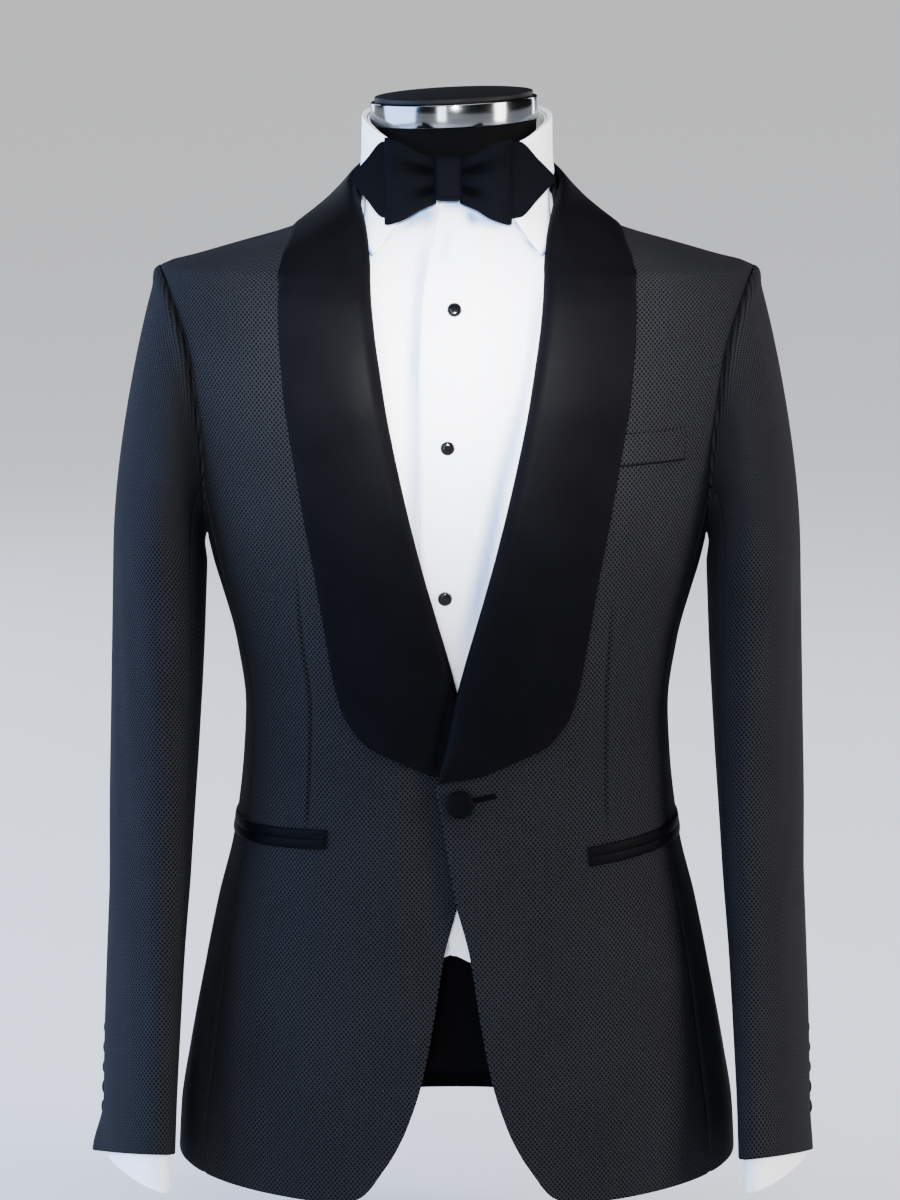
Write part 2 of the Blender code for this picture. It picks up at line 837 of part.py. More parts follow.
def shirt_lift(height):
    return mix(SHIRT_LIFT, SHOULDER_SHIRT_LIFT, smooth(height, *SHIRT_SHOULDER))


def form_lift(turn, height):
    """The form stands back further in front, where the shirt's two fronts overlap."""
    front = (1 - smooth(from_front(turn), 30, 70)) * (1 - smooth(height, 829, 860))
    back = smooth(from_front(turn), 90, 110) * (1 - smooth(height, 800, 829))
    lift = mix(FORM_LIFT, SHOULDER_FORM_LIFT, smooth(height, *FORM_SHOULDER))
    return lift - FORM_FRONT_DROP * front - FORM_BACK_DROP * back


SHIRT_ROWS = [SHIRT_HEM, 321, 385, 460, 540] + ARM_ROWS + SHOULDER_ROWS


def shirt_outer_turn(height):
    if height <= ARMHOLE_LOW:
        return 90 - gap_turn(height)
    if height < ARMHOLE_TOP:
        return arm_turn(arm_psi(height)) - gap_turn(height)
    return 90 - gap_turn(height)


def shirt_rows():
    low = [arm_height(psi) for psi in range(180, SIDE_SEAM_ARM, -ARM_STEP)]
    heights = [height for height in SHIRT_ROWS if height < ARMHOLE_LOW - 10]
    return heights + low + [height for height in SHIRT_ROWS if height >= SEAM_JOIN]


def shirt_hem(across, height):
    """The front tails curve up to a small notch at the placket."""
    return SHIRT_NOTCH * (1 - smooth(abs(across + 3), 0, 16)) * (1 - smooth(height, SHIRT_HEM, 321))


shirt_edge = column(SHIRT_EDGE, "height", "across")


def shirt_front(side, name, material):
    """The wearer's left front closes over the right one, which reaches on under it."""

    def spot(at, row):
        edge = turn_at(shirt_edge(row) if side > 0 else SHIRT_UNDER_ACROSS, row)
        turn = turn_along(edge, shirt_outer_turn(row), at, row) * side
        return turn, row + shirt_hem(body_ring(turn, row).x, row)

    def lift(at, row):
        turn, height = spot(at, row)
        sunk = SHIRT_UNDER_DROP * smooth(body_ring(turn, height).x, -58, -30)
        under = 0 if side > 0 else sunk
        return shirt_lift(row) - under

    columns = [0, 0.07, 0.16, 0.3, 0.46, 0.64, 0.82, 1]
    body_wall(name, material, spot, columns, shirt_rows(), lift, SHIRT_WALL)


def shirt_back(side, name, material):
    """Half of the back, from the seam down its middle."""

    def spot(at, row):
        turn = turn_between(180 - gap_turn(row), 180 - shirt_outer_turn(row), at, row)
        return side * turn, row

    columns = [0, 0.26, 0.53, 0.8, 1]
    body_wall(name, material, spot, columns, shirt_rows(), lambda at, row: shirt_lift(row), SHIRT_WALL)


def shirt_sleeve(side, suffix, material):
    """Cut in two along the seams of the jacket's sleeve, inside which it lies."""
    levels = [0, 0.12, 0.3, 0.55, 1, 1.34, 1.68, 1.89]
    low, high = UNDER_SLEEVE
    for part, start, end in (("top", high - 360, low), ("under", low, high)):
        name = f"shirt_sleeve_{part}_{suffix}"
        psis = seam_psis(start, end)
        tube_wall(side, name, material, psis, levels, SHIRT_WALL, **SHIRT_SLEEVE)


def shirt_cuff(side, name, material):
    psis = [ARM_STEP * i for i in range(20)]

    def ring(height, smaller):
        share = (height - CUFF_LOW) / (CUFF_HIGH - CUFF_LOW)
        tilt = mix(CUFF_TILT, sleeve_at["tilt"](CUFF_HIGH), share)
        return [sleeve_ring(psi, height, smaller, tilt) for psi in psis]

    rows = spread(CUFF_LOW, CUFF_HIGH, 3)
    outer = [ring(height, CUFF_SMALLER) for height in rows]
    inner = [ring(height, CUFF_SMALLER + SHIRT_WALL) for height in rows]
    wall(name, material, own_side(side, outer), own_side(side, inner), wrap=True)


def from_front(turn):
    """The size of a turn either way round from the front."""
    return min(turn % 360, 360 - turn % 360)


def shirt_collar_stand(name, material):
    def spot(at, row):
        return at, mix(STAND_LOW, collar_top(from_front(at)) - 1.4, row)

    def lift(at, row):
        return mix(SHOULDER_SHIRT_LIFT, 0, smooth(row, 0, 0.3))

    body_wall(name, material, spot, NECK_TURNS, [0, 0.3, 1], lift, SHIRT_WALL, wrap=True)


def bow_band(name, material):
    def spot(at, row):
        return at, collar_top(from_front(at)) - BOW_BAND_LOW + BOW_BAND_TALL * row

    def lift(at, row):
        return BOW_BAND_LIFT

    body_wall(name, material, spot, NECK_TURNS, [0, 1], lift, BOW_BAND_WALL, wrap=True)


def shirt_collar(name, material):
    """The leaf, rolled over the top of the stand and turned down outside it."""
    low_turn, low_height, low_lift = (
        column(COLLAR_LEAF, "turn", key) for key in ("low_turn", "low_height", "lift")
    )
    turns = list(COLLAR_TURNS) + [360 - turn for turn in reversed(COLLAR_TURNS[:-1])]

    def point(turn, at):
        size = from_front(turn)
        side = 1 if turn <= 180 else -1
        if at < 0:
            return on_body(turn, collar_top(size) + 1.3 + 1.5 * at, LEAF_LIFT + 3.6 * at)
        lying = mix(size, low_turn(size), at) * side
        height = mix(collar_top(size), low_height(size), at)
        return on_body(lying, height, mix(LEAF_LIFT, low_lift(size), smooth(at, 0.3, 1)))

    levels = [1, 0.75, 0.5, 0.25, 0, -0.45, -1]
    sheet_wall(name, material, [[point(turn, at) for turn in turns] for at in levels], SHIRT_WALL)


def neck_top(across):
    """The plane just under the neck ring, which tips up to the wearer's left."""
    rise = (across - RING_MIDDLE.x) * math.tan(math.radians(RING_TILT))
    return RING_MIDDLE.z - RING_HIGH / 2 - SEAM_GAP + rise


def form_torso(name, material):
    heights = [FORM_LOW, 255, 321, 385, 460, 540] + ARM_ROWS + SHOULDER_ROWS + [860, 880]
    rings = []
    for height in heights:
        half = [turn_between(0, 180, i / 10, height) for i in range(11)]
        turns = half + [-turn for turn in reversed(half[1:-1])]
        rings.append([on_body(turn, height, form_lift(turn, height)) for turn in turns])
    for point in rings[0]:
        point.z = FORM_LOW
    for point in rings[-1]:
        point.z = neck_top(point.x)
    stacked(name, material, rings)


def neck_ring_and_cap(steel, plastic):
    tipped = Matrix.Translation(RING_MIDDLE) @ Matrix.Rotation(-math.radians(RING_TILT), 4, "Y")
    half = RING_HIGH / 2
    ring = ((0, -half), (RING_RADIUS - 1, -half), (RING_RADIUS, 1 - half))
    ring += ((RING_RADIUS, half - 1), (RING_RADIUS - 1, half), (0, half))
    turned("form_neck_ring", steel, ring, tipped, 32)
    low = half + SEAM_GAP
    cap = ((0, low), (RING_RADIUS - 3, low), (RING_RADIUS - 3.5, half + 4), (0, half + 6.5))
    turned("form_cap", plastic, cap, tipped, 32)


def stand(material):
    levels = ((0, 1), (1, 0), (BASE_THICK - 2, 0), (BASE_THICK, 2))
    wide, deep = BASE_HALF
    rings = [
        soft_oblong(Vector((0, 0, height)), wide - inset, deep - inset, 32) for height, inset in levels
    ]
    stacked("stand_base", material, rings)
    low, high = BASE_THICK + SEAM_GAP, FORM_LOW - SEAM_GAP
    post = ((0, low), (POST_RADIUS, low), (POST_RADIUS, high), (0, high))
    for side, suffix in SIDES:
        place = Matrix.Translation((side * POST_ACROSS, 0, 0))
        turned("stand_post_" + suffix, material, post, place, 16)


def bow_knot(name, material):
    wide, deep, half = BOW_KNOT[0] / 2, BOW_KNOT[1] / 2, BOW_KNOT[2] / 2
    levels = ((-half, 3), (2 - half, 0.8), (-half / 2, 0), (half / 2, 0), (half - 2, 0.8), (half, 3))
    rings = []
    for height, smaller in levels:
        middle = Vector((BOW_MIDDLE, BOW_FRONT + 4, BOW_HEIGHT + height))
        rings.append(soft_oblong(middle, wide - smaller, deep - smaller, 16))
    stacked(name, material, rings)


def bow_sheet(side, name, material, path, rows, middle, pleat, reach=1):
    """A sheet of silk standing on edge along the path."""
    grid = []
    for row in rows:
        line = []
        for at in path:
            deep = BOW_FRONT + at["back"] - pleat * pleat_at(row, at["across"])
            height = middle + at["half_tall"] * row
            across = BOW_ROOT + (at["across"] - BOW_ROOT) * reach
            line.append(Vector((BOW_MIDDLE + side * across, deep, height)))
        grid.append(line)
    sheet_wall(name, material, grid if side > 0 else flip_rows(grid), BOW_WALL)


def pleat_at(row, across):
    """Gathers beside the knot that fade out along the loop."""
    return math.cos(row * math.pi * 1.5) * (1 - smooth(across, 12, 40))


def bow_tie(material):
    """A folded loop each side of the knot, and a pointed end behind each loop."""
    bow_knot("bow_tie_knot", material)
    for side, suffix in SIDES:
        rows = (-1, -0.6, -0.2, 0.2, 0.6, 1)
        name = "bow_tie_loop_" + suffix
        bow_sheet(side, name, material, BOW_LOOP, rows, BOW_HEIGHT - 2, 1)
        rows = (-1, -0.5, 0, 0.5, 1)
        name = "bow_tie_end_" + suffix
        reach = BOW_END_REACH[suffix]
        bow_sheet(side, name, material, BOW_END, rows, BOW_HEIGHT - 1.5, 0, reach)


def button_place(base, above):
    return facing(base, (above - base).normalized())


def front_button(material):
    turn = turn_at(BUTTON_ACROSS, BUTTON_HEIGHT)
    place = button_place(on_body(turn, BUTTON_HEIGHT, 0.4), on_body(turn, BUTTON_HEIGHT, 5))
    rim = BUTTON_RADIUS
    profile = ((0, 0), (3, 0), (3, 2), (rim - 0.5, 2.2), (rim, 3.4), (rim - 1.6, 5), (0, 5.8))
    turned("front_button", material, profile, place, 16)


def shirt_studs(material):
    rim = STUD_RADIUS
    profile = ((0, 0), (rim - 0.3, 0), (rim, 0.8), (rim - 1, 2), (0, 2.6))
    for number, (across, height) in enumerate(STUDS, 1):
        turn = turn_at(across, height)
        base = on_body(turn, height, shirt_lift(height) + 0.4)
        place = button_place(base, on_body(turn, height, 9))
        turned(f"shirt_stud_{number}", material, profile, place, 16)


def sleeve_buttons(material):
    rim = CUFF_BUTTON_RADIUS
    profile = ((0, 0), (rim - 1, 0), (rim, 1.4), (rim - 1.2, 3.2), (0, 3.5))
    for side, suffix in SIDES:
        for number in range(CUFF_BUTTONS):
            rise = CUFF_BUTTON_RISE + CUFF_BUTTON_STEP * number
            level = 2 - rise / (SLEEVE_TOP - SLEEVE_HEM)
            normal = sleeve_normal(CUFF_BUTTON_PSI, level)
            base = sleeve_point(CUFF_BUTTON_PSI, level) + normal * 0.6
            if side < 0:
                base, normal = mirror_x(base), mirror_x(normal)
            name = f"sleeve_button_{suffix}_{number + 1}"
            turned(name, material, profile, facing(base, normal), 10)


def main():
    clear_scene()
    materials = {
        "wool": make_material("wool_cloth", (0.035, 0.037, 0.042), 0.85),
        "satin": make_material("black_satin", (0.012, 0.012, 0.015), 0.35),
        "bow": make_material("bow_silk", (0.013, 0.015, 0.028), 0.4),
        "shirt": make_material("white_cotton", (0.84, 0.85, 0.87), 0.8),
        "stud": make_material("stud_onyx", (0.02, 0.02, 0.022), 0.2),
        "jersey": make_material("form_jersey", (0.012, 0.012, 0.013), 0.9),
        "steel": make_material("polished_steel", (0.62, 0.62, 0.64), 0.22, 1.0),
        "cap": make_material("cap_plastic", (0.02, 0.02, 0.022), 0.5),
    }
    wool, satin, shirt = materials["wool"], materials["satin"], materials["shirt"]
    for side, suffix in SIDES:
        jacket_front(side, "jacket_front_" + suffix, wool)
        jacket_side(side, "jacket_side_" + suffix, wool)
        jacket_back(side, "jacket_back_" + suffix, wool)
        jacket_sleeve(side, suffix, wool)
        shawl_collar(side, "shawl_collar_" + suffix, satin)
        shirt_front(side, "shirt_front_" + suffix, shirt)
        shirt_back(side, "shirt_back_" + suffix, shirt)
        shirt_sleeve(side, suffix, shirt)
        shirt_cuff(side, "shirt_cuff_" + suffix, shirt)
        hip_pocket(side, suffix, satin)
    under_collar("under_collar", wool)
    breast_welt("breast_pocket_welt", wool)
    shirt_collar_stand("shirt_collar_stand", shirt)
    shirt_collar("shirt_collar", shirt)
    bow_band("bow_tie_band", materials["bow"])
    bow_tie(materials["bow"])
    front_button(satin)
    shirt_studs(materials["stud"])
    sleeve_buttons(satin)
    form_torso("form_torso", materials["jersey"])
    neck_ring_and_cap(materials["steel"], materials["cap"])
    stand(materials["steel"])


main()
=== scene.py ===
import math

import bmesh
import bpy
import numpy as np
from mathutils import Matrix, Vector


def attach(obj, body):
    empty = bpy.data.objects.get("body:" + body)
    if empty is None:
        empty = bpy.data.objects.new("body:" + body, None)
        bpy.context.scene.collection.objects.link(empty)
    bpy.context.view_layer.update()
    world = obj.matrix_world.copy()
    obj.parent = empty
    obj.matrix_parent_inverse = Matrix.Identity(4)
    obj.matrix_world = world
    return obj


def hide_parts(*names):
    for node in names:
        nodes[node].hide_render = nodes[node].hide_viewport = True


# A shawl-collar dinner jacket over a dress shirt and bow tie, on a dress form.
# Lengths here are millimetres, angles degrees, until a mesh is made. +X is the wearer's left.
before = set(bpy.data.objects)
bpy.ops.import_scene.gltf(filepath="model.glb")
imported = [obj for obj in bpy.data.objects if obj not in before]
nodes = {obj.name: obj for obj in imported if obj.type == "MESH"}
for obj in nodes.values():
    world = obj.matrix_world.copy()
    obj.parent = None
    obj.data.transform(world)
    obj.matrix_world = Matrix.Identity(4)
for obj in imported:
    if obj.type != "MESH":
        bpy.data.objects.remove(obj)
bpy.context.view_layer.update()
bpy.ops.object.select_all(action="DESELECT")
mm = 0.001
sides = ((1, "l"), (-1, "r"))


# Camera, floor and light.

cameraValues = {
    "place": (-0.0052, -3.44, 1.1706),
    "tilt": 79.4,
    "lens": 138.9,
    "filmHeight": 36,
}


def makeCamera(values):
    data = bpy.data.cameras.new("camera")
    data.lens = values["lens"]
    data.sensor_fit = "VERTICAL"
    data.sensor_height = values["filmHeight"]
    camera = bpy.data.objects.new("camera", data)
    camera.location = values["place"]
    camera.rotation_euler = (math.radians(values["tilt"]), 0, 0)
    bpy.context.scene.collection.objects.link(camera)
    bpy.context.scene.camera = camera


makeCamera(cameraValues)


# sRGB hex to linear colour.
def linear(code):
    parts = [int(code[i : i + 2], 16) / 255 for i in (0, 2, 4)]
    return tuple(p / 12.92 if p <= 0.04045 else ((p + 0.055) / 1.055) ** 2.4 for p in parts) + (1,)


# Adds a shader node with its settings; each input holds a value, or a node or socket to link from.
def addNode(tree, kind, inputs=None, **settings):
    made = tree.nodes.new("ShaderNode" + kind)
    for key, value in settings.items():
        setattr(made, key, value)
    for key, value in (inputs or {}).items():
        source = value.outputs[0] if isinstance(value, bpy.types.Node) else value
        if isinstance(source, bpy.types.NodeSocket):
            tree.links.new(source, made.inputs[key])
        else:
            made.inputs[key].default_value = source
    return made


def newMaterial(name):
    material = bpy.data.materials.new(name)
    material.use_nodes = True
    return material, material.node_tree


# Sets the shader's own sockets, or links them where the value is a node or a socket.
def setShader(tree, **values):
    shader = tree.nodes["Principled BSDF"]
    for key, value in values.items():
        socket = shader.inputs[key.replace("_", " ")]
        source = value.outputs[0] if isinstance(value, bpy.types.Node) else value
        if isinstance(source, bpy.types.NodeSocket):
            tree.links.new(source, socket)
        else:
            socket.default_value = source


stageValues = {
    "size": 120,
    "under": 0.0005,
    "floor": "e2e3e5",
    "roughness": 0.9,
    "world": "a9aeb6",
    "worldStrength": 0.05,
}


def makeStage(values):
    bpy.ops.mesh.primitive_plane_add(size=values["size"], location=(0, 0, -values["under"]))
    floor = bpy.context.object
    floor.name = "floor"
    material, tree = newMaterial("paintedFloor")
    setShader(tree, Base_Color=linear(values["floor"]), Roughness=values["roughness"])
    floor.data.materials.append(material)
    world = bpy.data.worlds.new("studio")
    world.use_nodes = True
    background = world.node_tree.nodes["Background"]
    background.inputs["Color"].default_value = linear(values["world"])
    background.inputs["Strength"].default_value = values["worldStrength"]
    bpy.context.scene.world = world


makeStage(stageValues)

# Soft boxes: a wide cool one on the left, tall ones in front and to the right, and two behind;
# a soft spot for the shirt, and a wide high sun that lights the floor evenly.
softBoxes = {
    "keyLeft": {"place": (-2.7, -0.35, 1.2), "size": (3.0, 2.2), "power": 300, "colour": "a9c6ff"},
    "frontLeft": {"place": (-0.9, -2.9, 1.2), "size": (0.6, 2.0), "power": 70, "colour": "e6ecf8"},
    "right": {"place": (2.7, -1.2, 1.2), "size": (0.9, 2.0), "power": 150, "colour": "fff8f0"},
    "backRight": {"place": (1.85, 2.3, 1.4), "size": (0.35, 1.8), "power": 20, "colour": "ffffff"},
    "backLeft": {"place": (-1.6, 2.8, 1.5), "size": (0.8, 1.8), "power": 30, "colour": "dfe8ff"},
}
spotValues = {
    "place": (0.05, -3.1, 1.35),
    "aim": (0, -0.1, 0.73),
    "power": 3000,
    "wide": 6.6,
    "size": 0.12,
}
sunValues = {"place": (0, 0, 5), "turn": (8, 0, 0), "strength": 3.0, "angle": 60}


def placeLight(name, kind, place, power, aim=(0, 0, 0.5), colour="ffffff"):
    data = bpy.data.lights.new(name, kind)
    data.energy = power
    data.color = linear(colour)[:3]
    light = bpy.data.objects.new(name, data)
    light.location = place
    light.rotation_euler = (Vector(place) - Vector(aim)).to_track_quat("Z", "Y").to_euler()
    light.visible_camera = False
    bpy.context.scene.collection.objects.link(light)
    return light


for name, box in softBoxes.items():
    data = placeLight(name, "AREA", box["place"], box["power"], colour=box["colour"]).data
    data.shape = "RECTANGLE"
    data.size, data.size_y = box["size"]
spot = placeLight("shirtSpot", "SPOT", spotValues["place"], spotValues["power"], spotValues["aim"])
spot.data.spot_size, spot.data.spot_blend = math.radians(spotValues["wide"]), 1.0
spot.data.shadow_soft_size = spotValues["size"]
sun = placeLight("sun", "SUN", sunValues["place"], sunValues["strength"])
sun.data.angle = math.radians(sunValues["angle"])
sun.rotation_euler = [math.radians(part) for part in sunValues["turn"]]
print("camera, floor and lights made")


# Readings of the garment's form, on whole arrays of points at once.


def table(columns, *rows):
    return {name: np.array(values, float) for name, values in zip(columns.split(), zip(*rows))}


# A smooth reading of one column against another, with no overshoot between rows.
def column(rows, key, name):
    keys, values = rows[key], rows[name]
    steps = np.diff(values) / np.diff(keys)
    before, after = steps[:-1], steps[1:]
    total = np.where(before + after == 0, 1, before + after)
    inner = np.where(before * after > 0, 2 * before * after / total, 0)
    slopes = np.concatenate(([steps[0]], inner, [steps[-1]]))

    def read(at):
        at = np.clip(at, keys[0], keys[-1])
        i = np.clip(np.searchsorted(keys, at, side="right") - 1, 0, len(keys) - 2)
        span = keys[i + 1] - keys[i]
        t = (at - keys[i]) / span
        start = values[i] * (1 + 2 * t) * (1 - t) ** 2 + slopes[i] * span * t * (1 - t) ** 2
        end = values[i + 1] * t * t * (3 - 2 * t) - slopes[i + 1] * span * t * t * (1 - t)
        return start + end

    return read


def smooth(at, low, high):
    t = np.clip((at - low) / (high - low), 0, 1)
    return t * t * (3 - 2 * t)


def mix(a, b, share):
    return a + (b - a) * share


def unit(vectors):
    return vectors / np.maximum(np.linalg.norm(vectors, axis=-1, keepdims=True), 1e-9)


# Numbers side by side for each place of one grid: x, y and z, or u, v and the painted shade.
def points(*parts):
    return np.stack(np.broadcast_arrays(*parts), axis=-1).astype(float)


# A smooth hump, 1 in its middle and fading within twice its width.
def hump(away, wide):
    return np.exp(-((away / wide) ** 2))


# Rings of the jacket's face: reach to the side, front and back, and how square the ring is.
bodyRows = table(
    "height side front back square",
    (85, 214.5, 134.5, 126, 2.35),
    (135, 212, 132, 125, 2.35),
    (180, 205, 129, 122, 2.35),
    (254, 191, 125, 116, 2.35),
    (300, 181, 122, 111, 2.3),
    (350, 168.5, 118, 103, 2.3),
    (411, 161.5, 113, 92, 2.3),
    (450, 160, 111, 87, 2.3),
    (500, 166.5, 113, 88, 2.3),
    (560, 183, 118, 96, 2.35),
    (610, 194, 121, 104, 2.4),
    (680, 208.5, 119, 111, 2.4),
    (725, 217, 112, 112, 2.33),
    (762, 222, 103, 108, 2.22),
    (781, 221, 96, 104, 2.1),
    (788, 197, 93, 102, 2.12),
    (797, 165, 89, 99, 2.2),
    (806, 133, 85, 96, 2.15),
    (818, 101, 79, 91, 2.1),
    (829, 82, 73, 86, 2.05),
    (842, 71, 68, 80, 2.0),
    (855, 68, 65, 77, 2.1),
    (875, 66.5, 63, 76, 2.15),
    (905, 66, 62, 75, 2.15),
)
bodySide, bodyFront, bodyBack, bodySquare = (
    column(bodyRows, "height", name) for name in ("side", "front", "back", "square")
)
# The front's edge: the cutaway below the button, and the fold of the lapel above it.
edgeRows = table(
    "height across",
    (92, 86),
    (97, 73),
    (105, 65),
    (113, 59.5),
    (128, 49.5),
    (149, 39),
    (184, 27.5),
    (230, 18.5),
    (283, 10),
    (321, 0),
    (361, -7),
    (392, -12),
    (409, -15),
    (431, -10),
    (450, -6),
    (469, -2),
    (495, 4.5),
    (525, 13),
    (559, 22.5),
    (592, 31),
    (658, 46),
    (702, 54),
    (739, 59.5),
    (797, 65.5),
    (830, 68),
)
frontEdge = column(edgeRows, "height", "across")
cut = {
    "hem": 92,
    "armTop": 781,
    "armLow": 578,
    "armTurn": 17,
    "seamArm": 126,
    "sideSeam": 70,
    "seamGap": 0.3,
    "overhang": 4,
    "overhangHeights": (405, 420),
    "hemRises": ((11, 30, 95), (6, 95, 180)),
    "hemRiseTop": 230,
    "shoulder": 842,
    "wall": 2.0,
}


def bodyRing(turn, height):
    turn, height = np.broadcast_arrays(np.asarray(turn, float), np.asarray(height, float))
    across, ahead = np.sin(np.radians(turn)), np.cos(np.radians(turn))
    deep = np.where(ahead > 0, bodyFront(height), bodyBack(height))
    power = bodySquare(height)
    terms = np.abs(across / bodySide(height)) ** power + np.abs(ahead / deep) ** power
    reach = terms ** (-1 / power)
    return points(across * reach, -ahead * reach, height)


def bodyNormal(turn, height):
    across = bodyRing(turn + 1, height) - bodyRing(turn - 1, height)
    up = bodyRing(turn, height + 1.5) - bodyRing(turn, height - 1.5)
    return unit(np.cross(across, up))


def onBody(turn, height, lift):
    turn, height, lift = np.broadcast_arrays(turn, height, lift)
    return bodyRing(turn, height) + bodyNormal(turn, height) * lift[..., None]


# The turn of the point on the front that lies this far to the wearer's left.
def turnAt(across, height):
    power = bodySquare(height)
    share = np.minimum(np.abs(across) / bodySide(height), 1)
    ahead = bodyFront(height) * (1 - share**power) ** (1 / power)
    return np.degrees(np.arctan2(across, ahead))


# The turn as an angle that steps evenly along the ring.
def swingOf(turn, height):
    spot = bodyRing(turn, height)
    share = np.minimum(np.abs(spot[..., 0]) / bodySide(height), 1)
    swing = np.degrees(np.arcsin(share ** (bodySquare(height) / 2)))
    return np.where(spot[..., 1] <= 0, swing, 180 - swing)


def turnBetween(first, last, share, height):
    swing = np.radians(mix(swingOf(first, height), swingOf(last, height), share))
    power = 2 / bodySquare(height)
    ahead = np.cos(swing)
    deep = np.where(ahead > 0, bodyFront(height), bodyBack(height))
    across = bodySide(height) * np.abs(np.sin(swing)) ** power
    return np.degrees(np.arctan2(across, np.sign(ahead) * np.abs(ahead) ** power * deep))


# Like turnBetween, but the first turn may lie on the other side of the centre.
def turnAlong(edge, outer, share, height):
    near = turnBetween(np.maximum(edge, 0), outer, share, height)
    return near + np.minimum(edge, 0) * (1 - share) ** 3


# The hem climbs towards the sides and the back.
def hemRise(turn, height):
    rise = sum(size * smooth(turn, *turns) for size, *turns in cut["hemRises"])
    return rise * (1 - smooth(height, cut["hem"], cut["hemRiseTop"]))


armMiddle = (cut["armTop"] + cut["armLow"]) / 2
armHalf = cut["armTop"] - armMiddle


def armHeight(psi):
    return armMiddle + armHalf * np.cos(np.radians(psi))


def armTurn(psi):
    return 90 - cut["armTurn"] * np.sin(np.radians(psi))


def armPsi(height):
    return np.degrees(np.arccos(np.clip((height - armMiddle) / armHalf, -1, 1)))


def gapTurn(height):
    return np.degrees(cut["seamGap"] / 2 / bodySide(height))


seamJoin = float(armHeight(cut["seamArm"]))


def seamTurn(height):
    return mix(cut["sideSeam"], armTurn(cut["seamArm"]), smooth(height, cut["hem"], seamJoin))


# Where a front ends: at the side seam, then the armhole, then the shoulder seam.
def outerTurn(height):
    below = seamTurn(height)
    beside = armTurn(armPsi(height))
    turn = np.where(height <= seamJoin, below, np.where(height < cut["armTop"], beside, 90.0))
    return turn - gapTurn(height)


# Even steps from low to high; ends from 0 to 1 crowds them towards both ends.
def steps(low, high, pitch, ends=0.0):
    count = max(int(math.ceil(abs(high - low) / pitch)), 2)
    t = np.linspace(0, 1, count + 1)
    return low + (high - low) * mix(t, (1 - np.cos(math.pi * t)) / 2, ends)


# Runs of numbers end to end, each shared end kept once.
def join(*runs):
    return np.concatenate([run if i == 0 else run[1:] for i, run in enumerate(runs)])


# Cloth: a thin shell on a grid of points.


def gridNormals(grid, wrap=False):
    if wrap:
        across = np.roll(grid, -1, axis=1) - np.roll(grid, 1, axis=1)
    else:
        across = np.gradient(grid, axis=1)
    up = np.gradient(grid, axis=0)
    return unit(np.cross(across, up))


# How far along the cloth each point lies from the first one, in millimetres.
def lengths(grid, axis):
    step = np.linalg.norm(np.diff(grid, axis=axis), axis=-1)
    start = np.zeros_like(np.take(step, [0], axis=axis))
    return np.cumsum(np.concatenate((start, step), axis=axis), axis=axis)


# What is cut for each piece of cloth, as far as it shows: the flat width, length and area in
# metres, how it is held, and what it rests on or hangs from.
clothCuts = {
    "frontCloth": (0.205, 0.888, 0.132, "hung", "formTorso"),
    "sideCloth": (0.15, 0.529, 0.054, "hung", "frontCloth_{}"),
    "backCloth": (0.265, 0.886, 0.147, "hung", "formTorso"),
    "sleeveTop": (0.37, 0.684, 0.136, "hung", "frontCloth_{}"),
    "sleeveUnder": (0.161, 0.58, 0.068, "hung", "backCloth_{}"),
    "lapel": (0.092, 0.704, 0.045, "folded", "frontCloth_{}"),
    "underCollar": (0.197, 0.024, 0.0036, "folded", "formTorso"),
    "jetUpper": (0.165, 0.0102, 0.0012, "folded", "frontCloth_{}"),
    "jetLower": (0.165, 0.0102, 0.0012, "folded", "frontCloth_{}"),
    "breastWelt": (0.061, 0.024, 0.00145, "laid", "frontCloth_l"),
    "shirtFront": (0.278, 0.732, 0.137, "hung", "formTorso"),
    "shirtBack": (0.518, 0.731, 0.243, "hung", "formTorso"),
    "shirtSleeve": (0.45, 0.622, 0.168, "hung", "shirtFront_{}"),
    "cuff": (0.269, 0.074, 0.0174, "hung", "shirtSleeve_{}"),
    "collarStand": (0.442, 0.054, 0.0193, "hung", "formTorso"),
    "collarLeaf": (0.45, 0.089, 0.0205, "folded", "collarStand"),
    "bowBand": (0.459, 0.015, 0.0067, "stretched", "collarStand"),
    "bowLoop": (0.087, 0.062, 0.004, "gathered", "bowKnot"),
    "bowEnd": (0.082, 0.056, 0.0026, "gathered", "bowKnot"),
}
# The slot of each, and the CAD pieces whose place it takes.
clothNodes = {
    "frontCloth": ("wool_cloth", "jacket_front_{}"),
    "sideCloth": ("wool_cloth", "jacket_side_{}"),
    "backCloth": ("wool_cloth", "jacket_back_{}"),
    "sleeveTop": ("wool_cloth", "jacket_sleeve_top_{}"),
    "sleeveUnder": ("wool_cloth", "jacket_sleeve_under_{}"),
    "lapel": ("black_satin", "shawl_collar_{}"),
    "underCollar": ("wool_cloth", "under_collar"),
    "jetUpper": ("black_satin", "hip_pocket_upper_jet_{}"),
    "jetLower": ("black_satin", "hip_pocket_lower_jet_{}"),
    "breastWelt": ("wool_cloth", "breast_pocket_welt"),
    "shirtFront": ("white_cotton", "shirt_front_{}"),
    "shirtBack": ("white_cotton", "shirt_back_l", "shirt_back_r"),
    "shirtSleeve": ("white_cotton", "shirt_sleeve_top_{}", "shirt_sleeve_under_{}"),
    "cuff": ("white_cotton", "shirt_cuff_{}"),
    "collarStand": ("white_cotton", "shirt_collar_stand"),
    "collarLeaf": ("white_cotton", "shirt_collar"),
    "bowBand": ("bow_silk", "bow_tie_band"),
    "bowLoop": ("bow_silk", "bow_tie_loop_{}"),
    "bowEnd": ("bow_silk", "bow_tie_end_{}"),
}
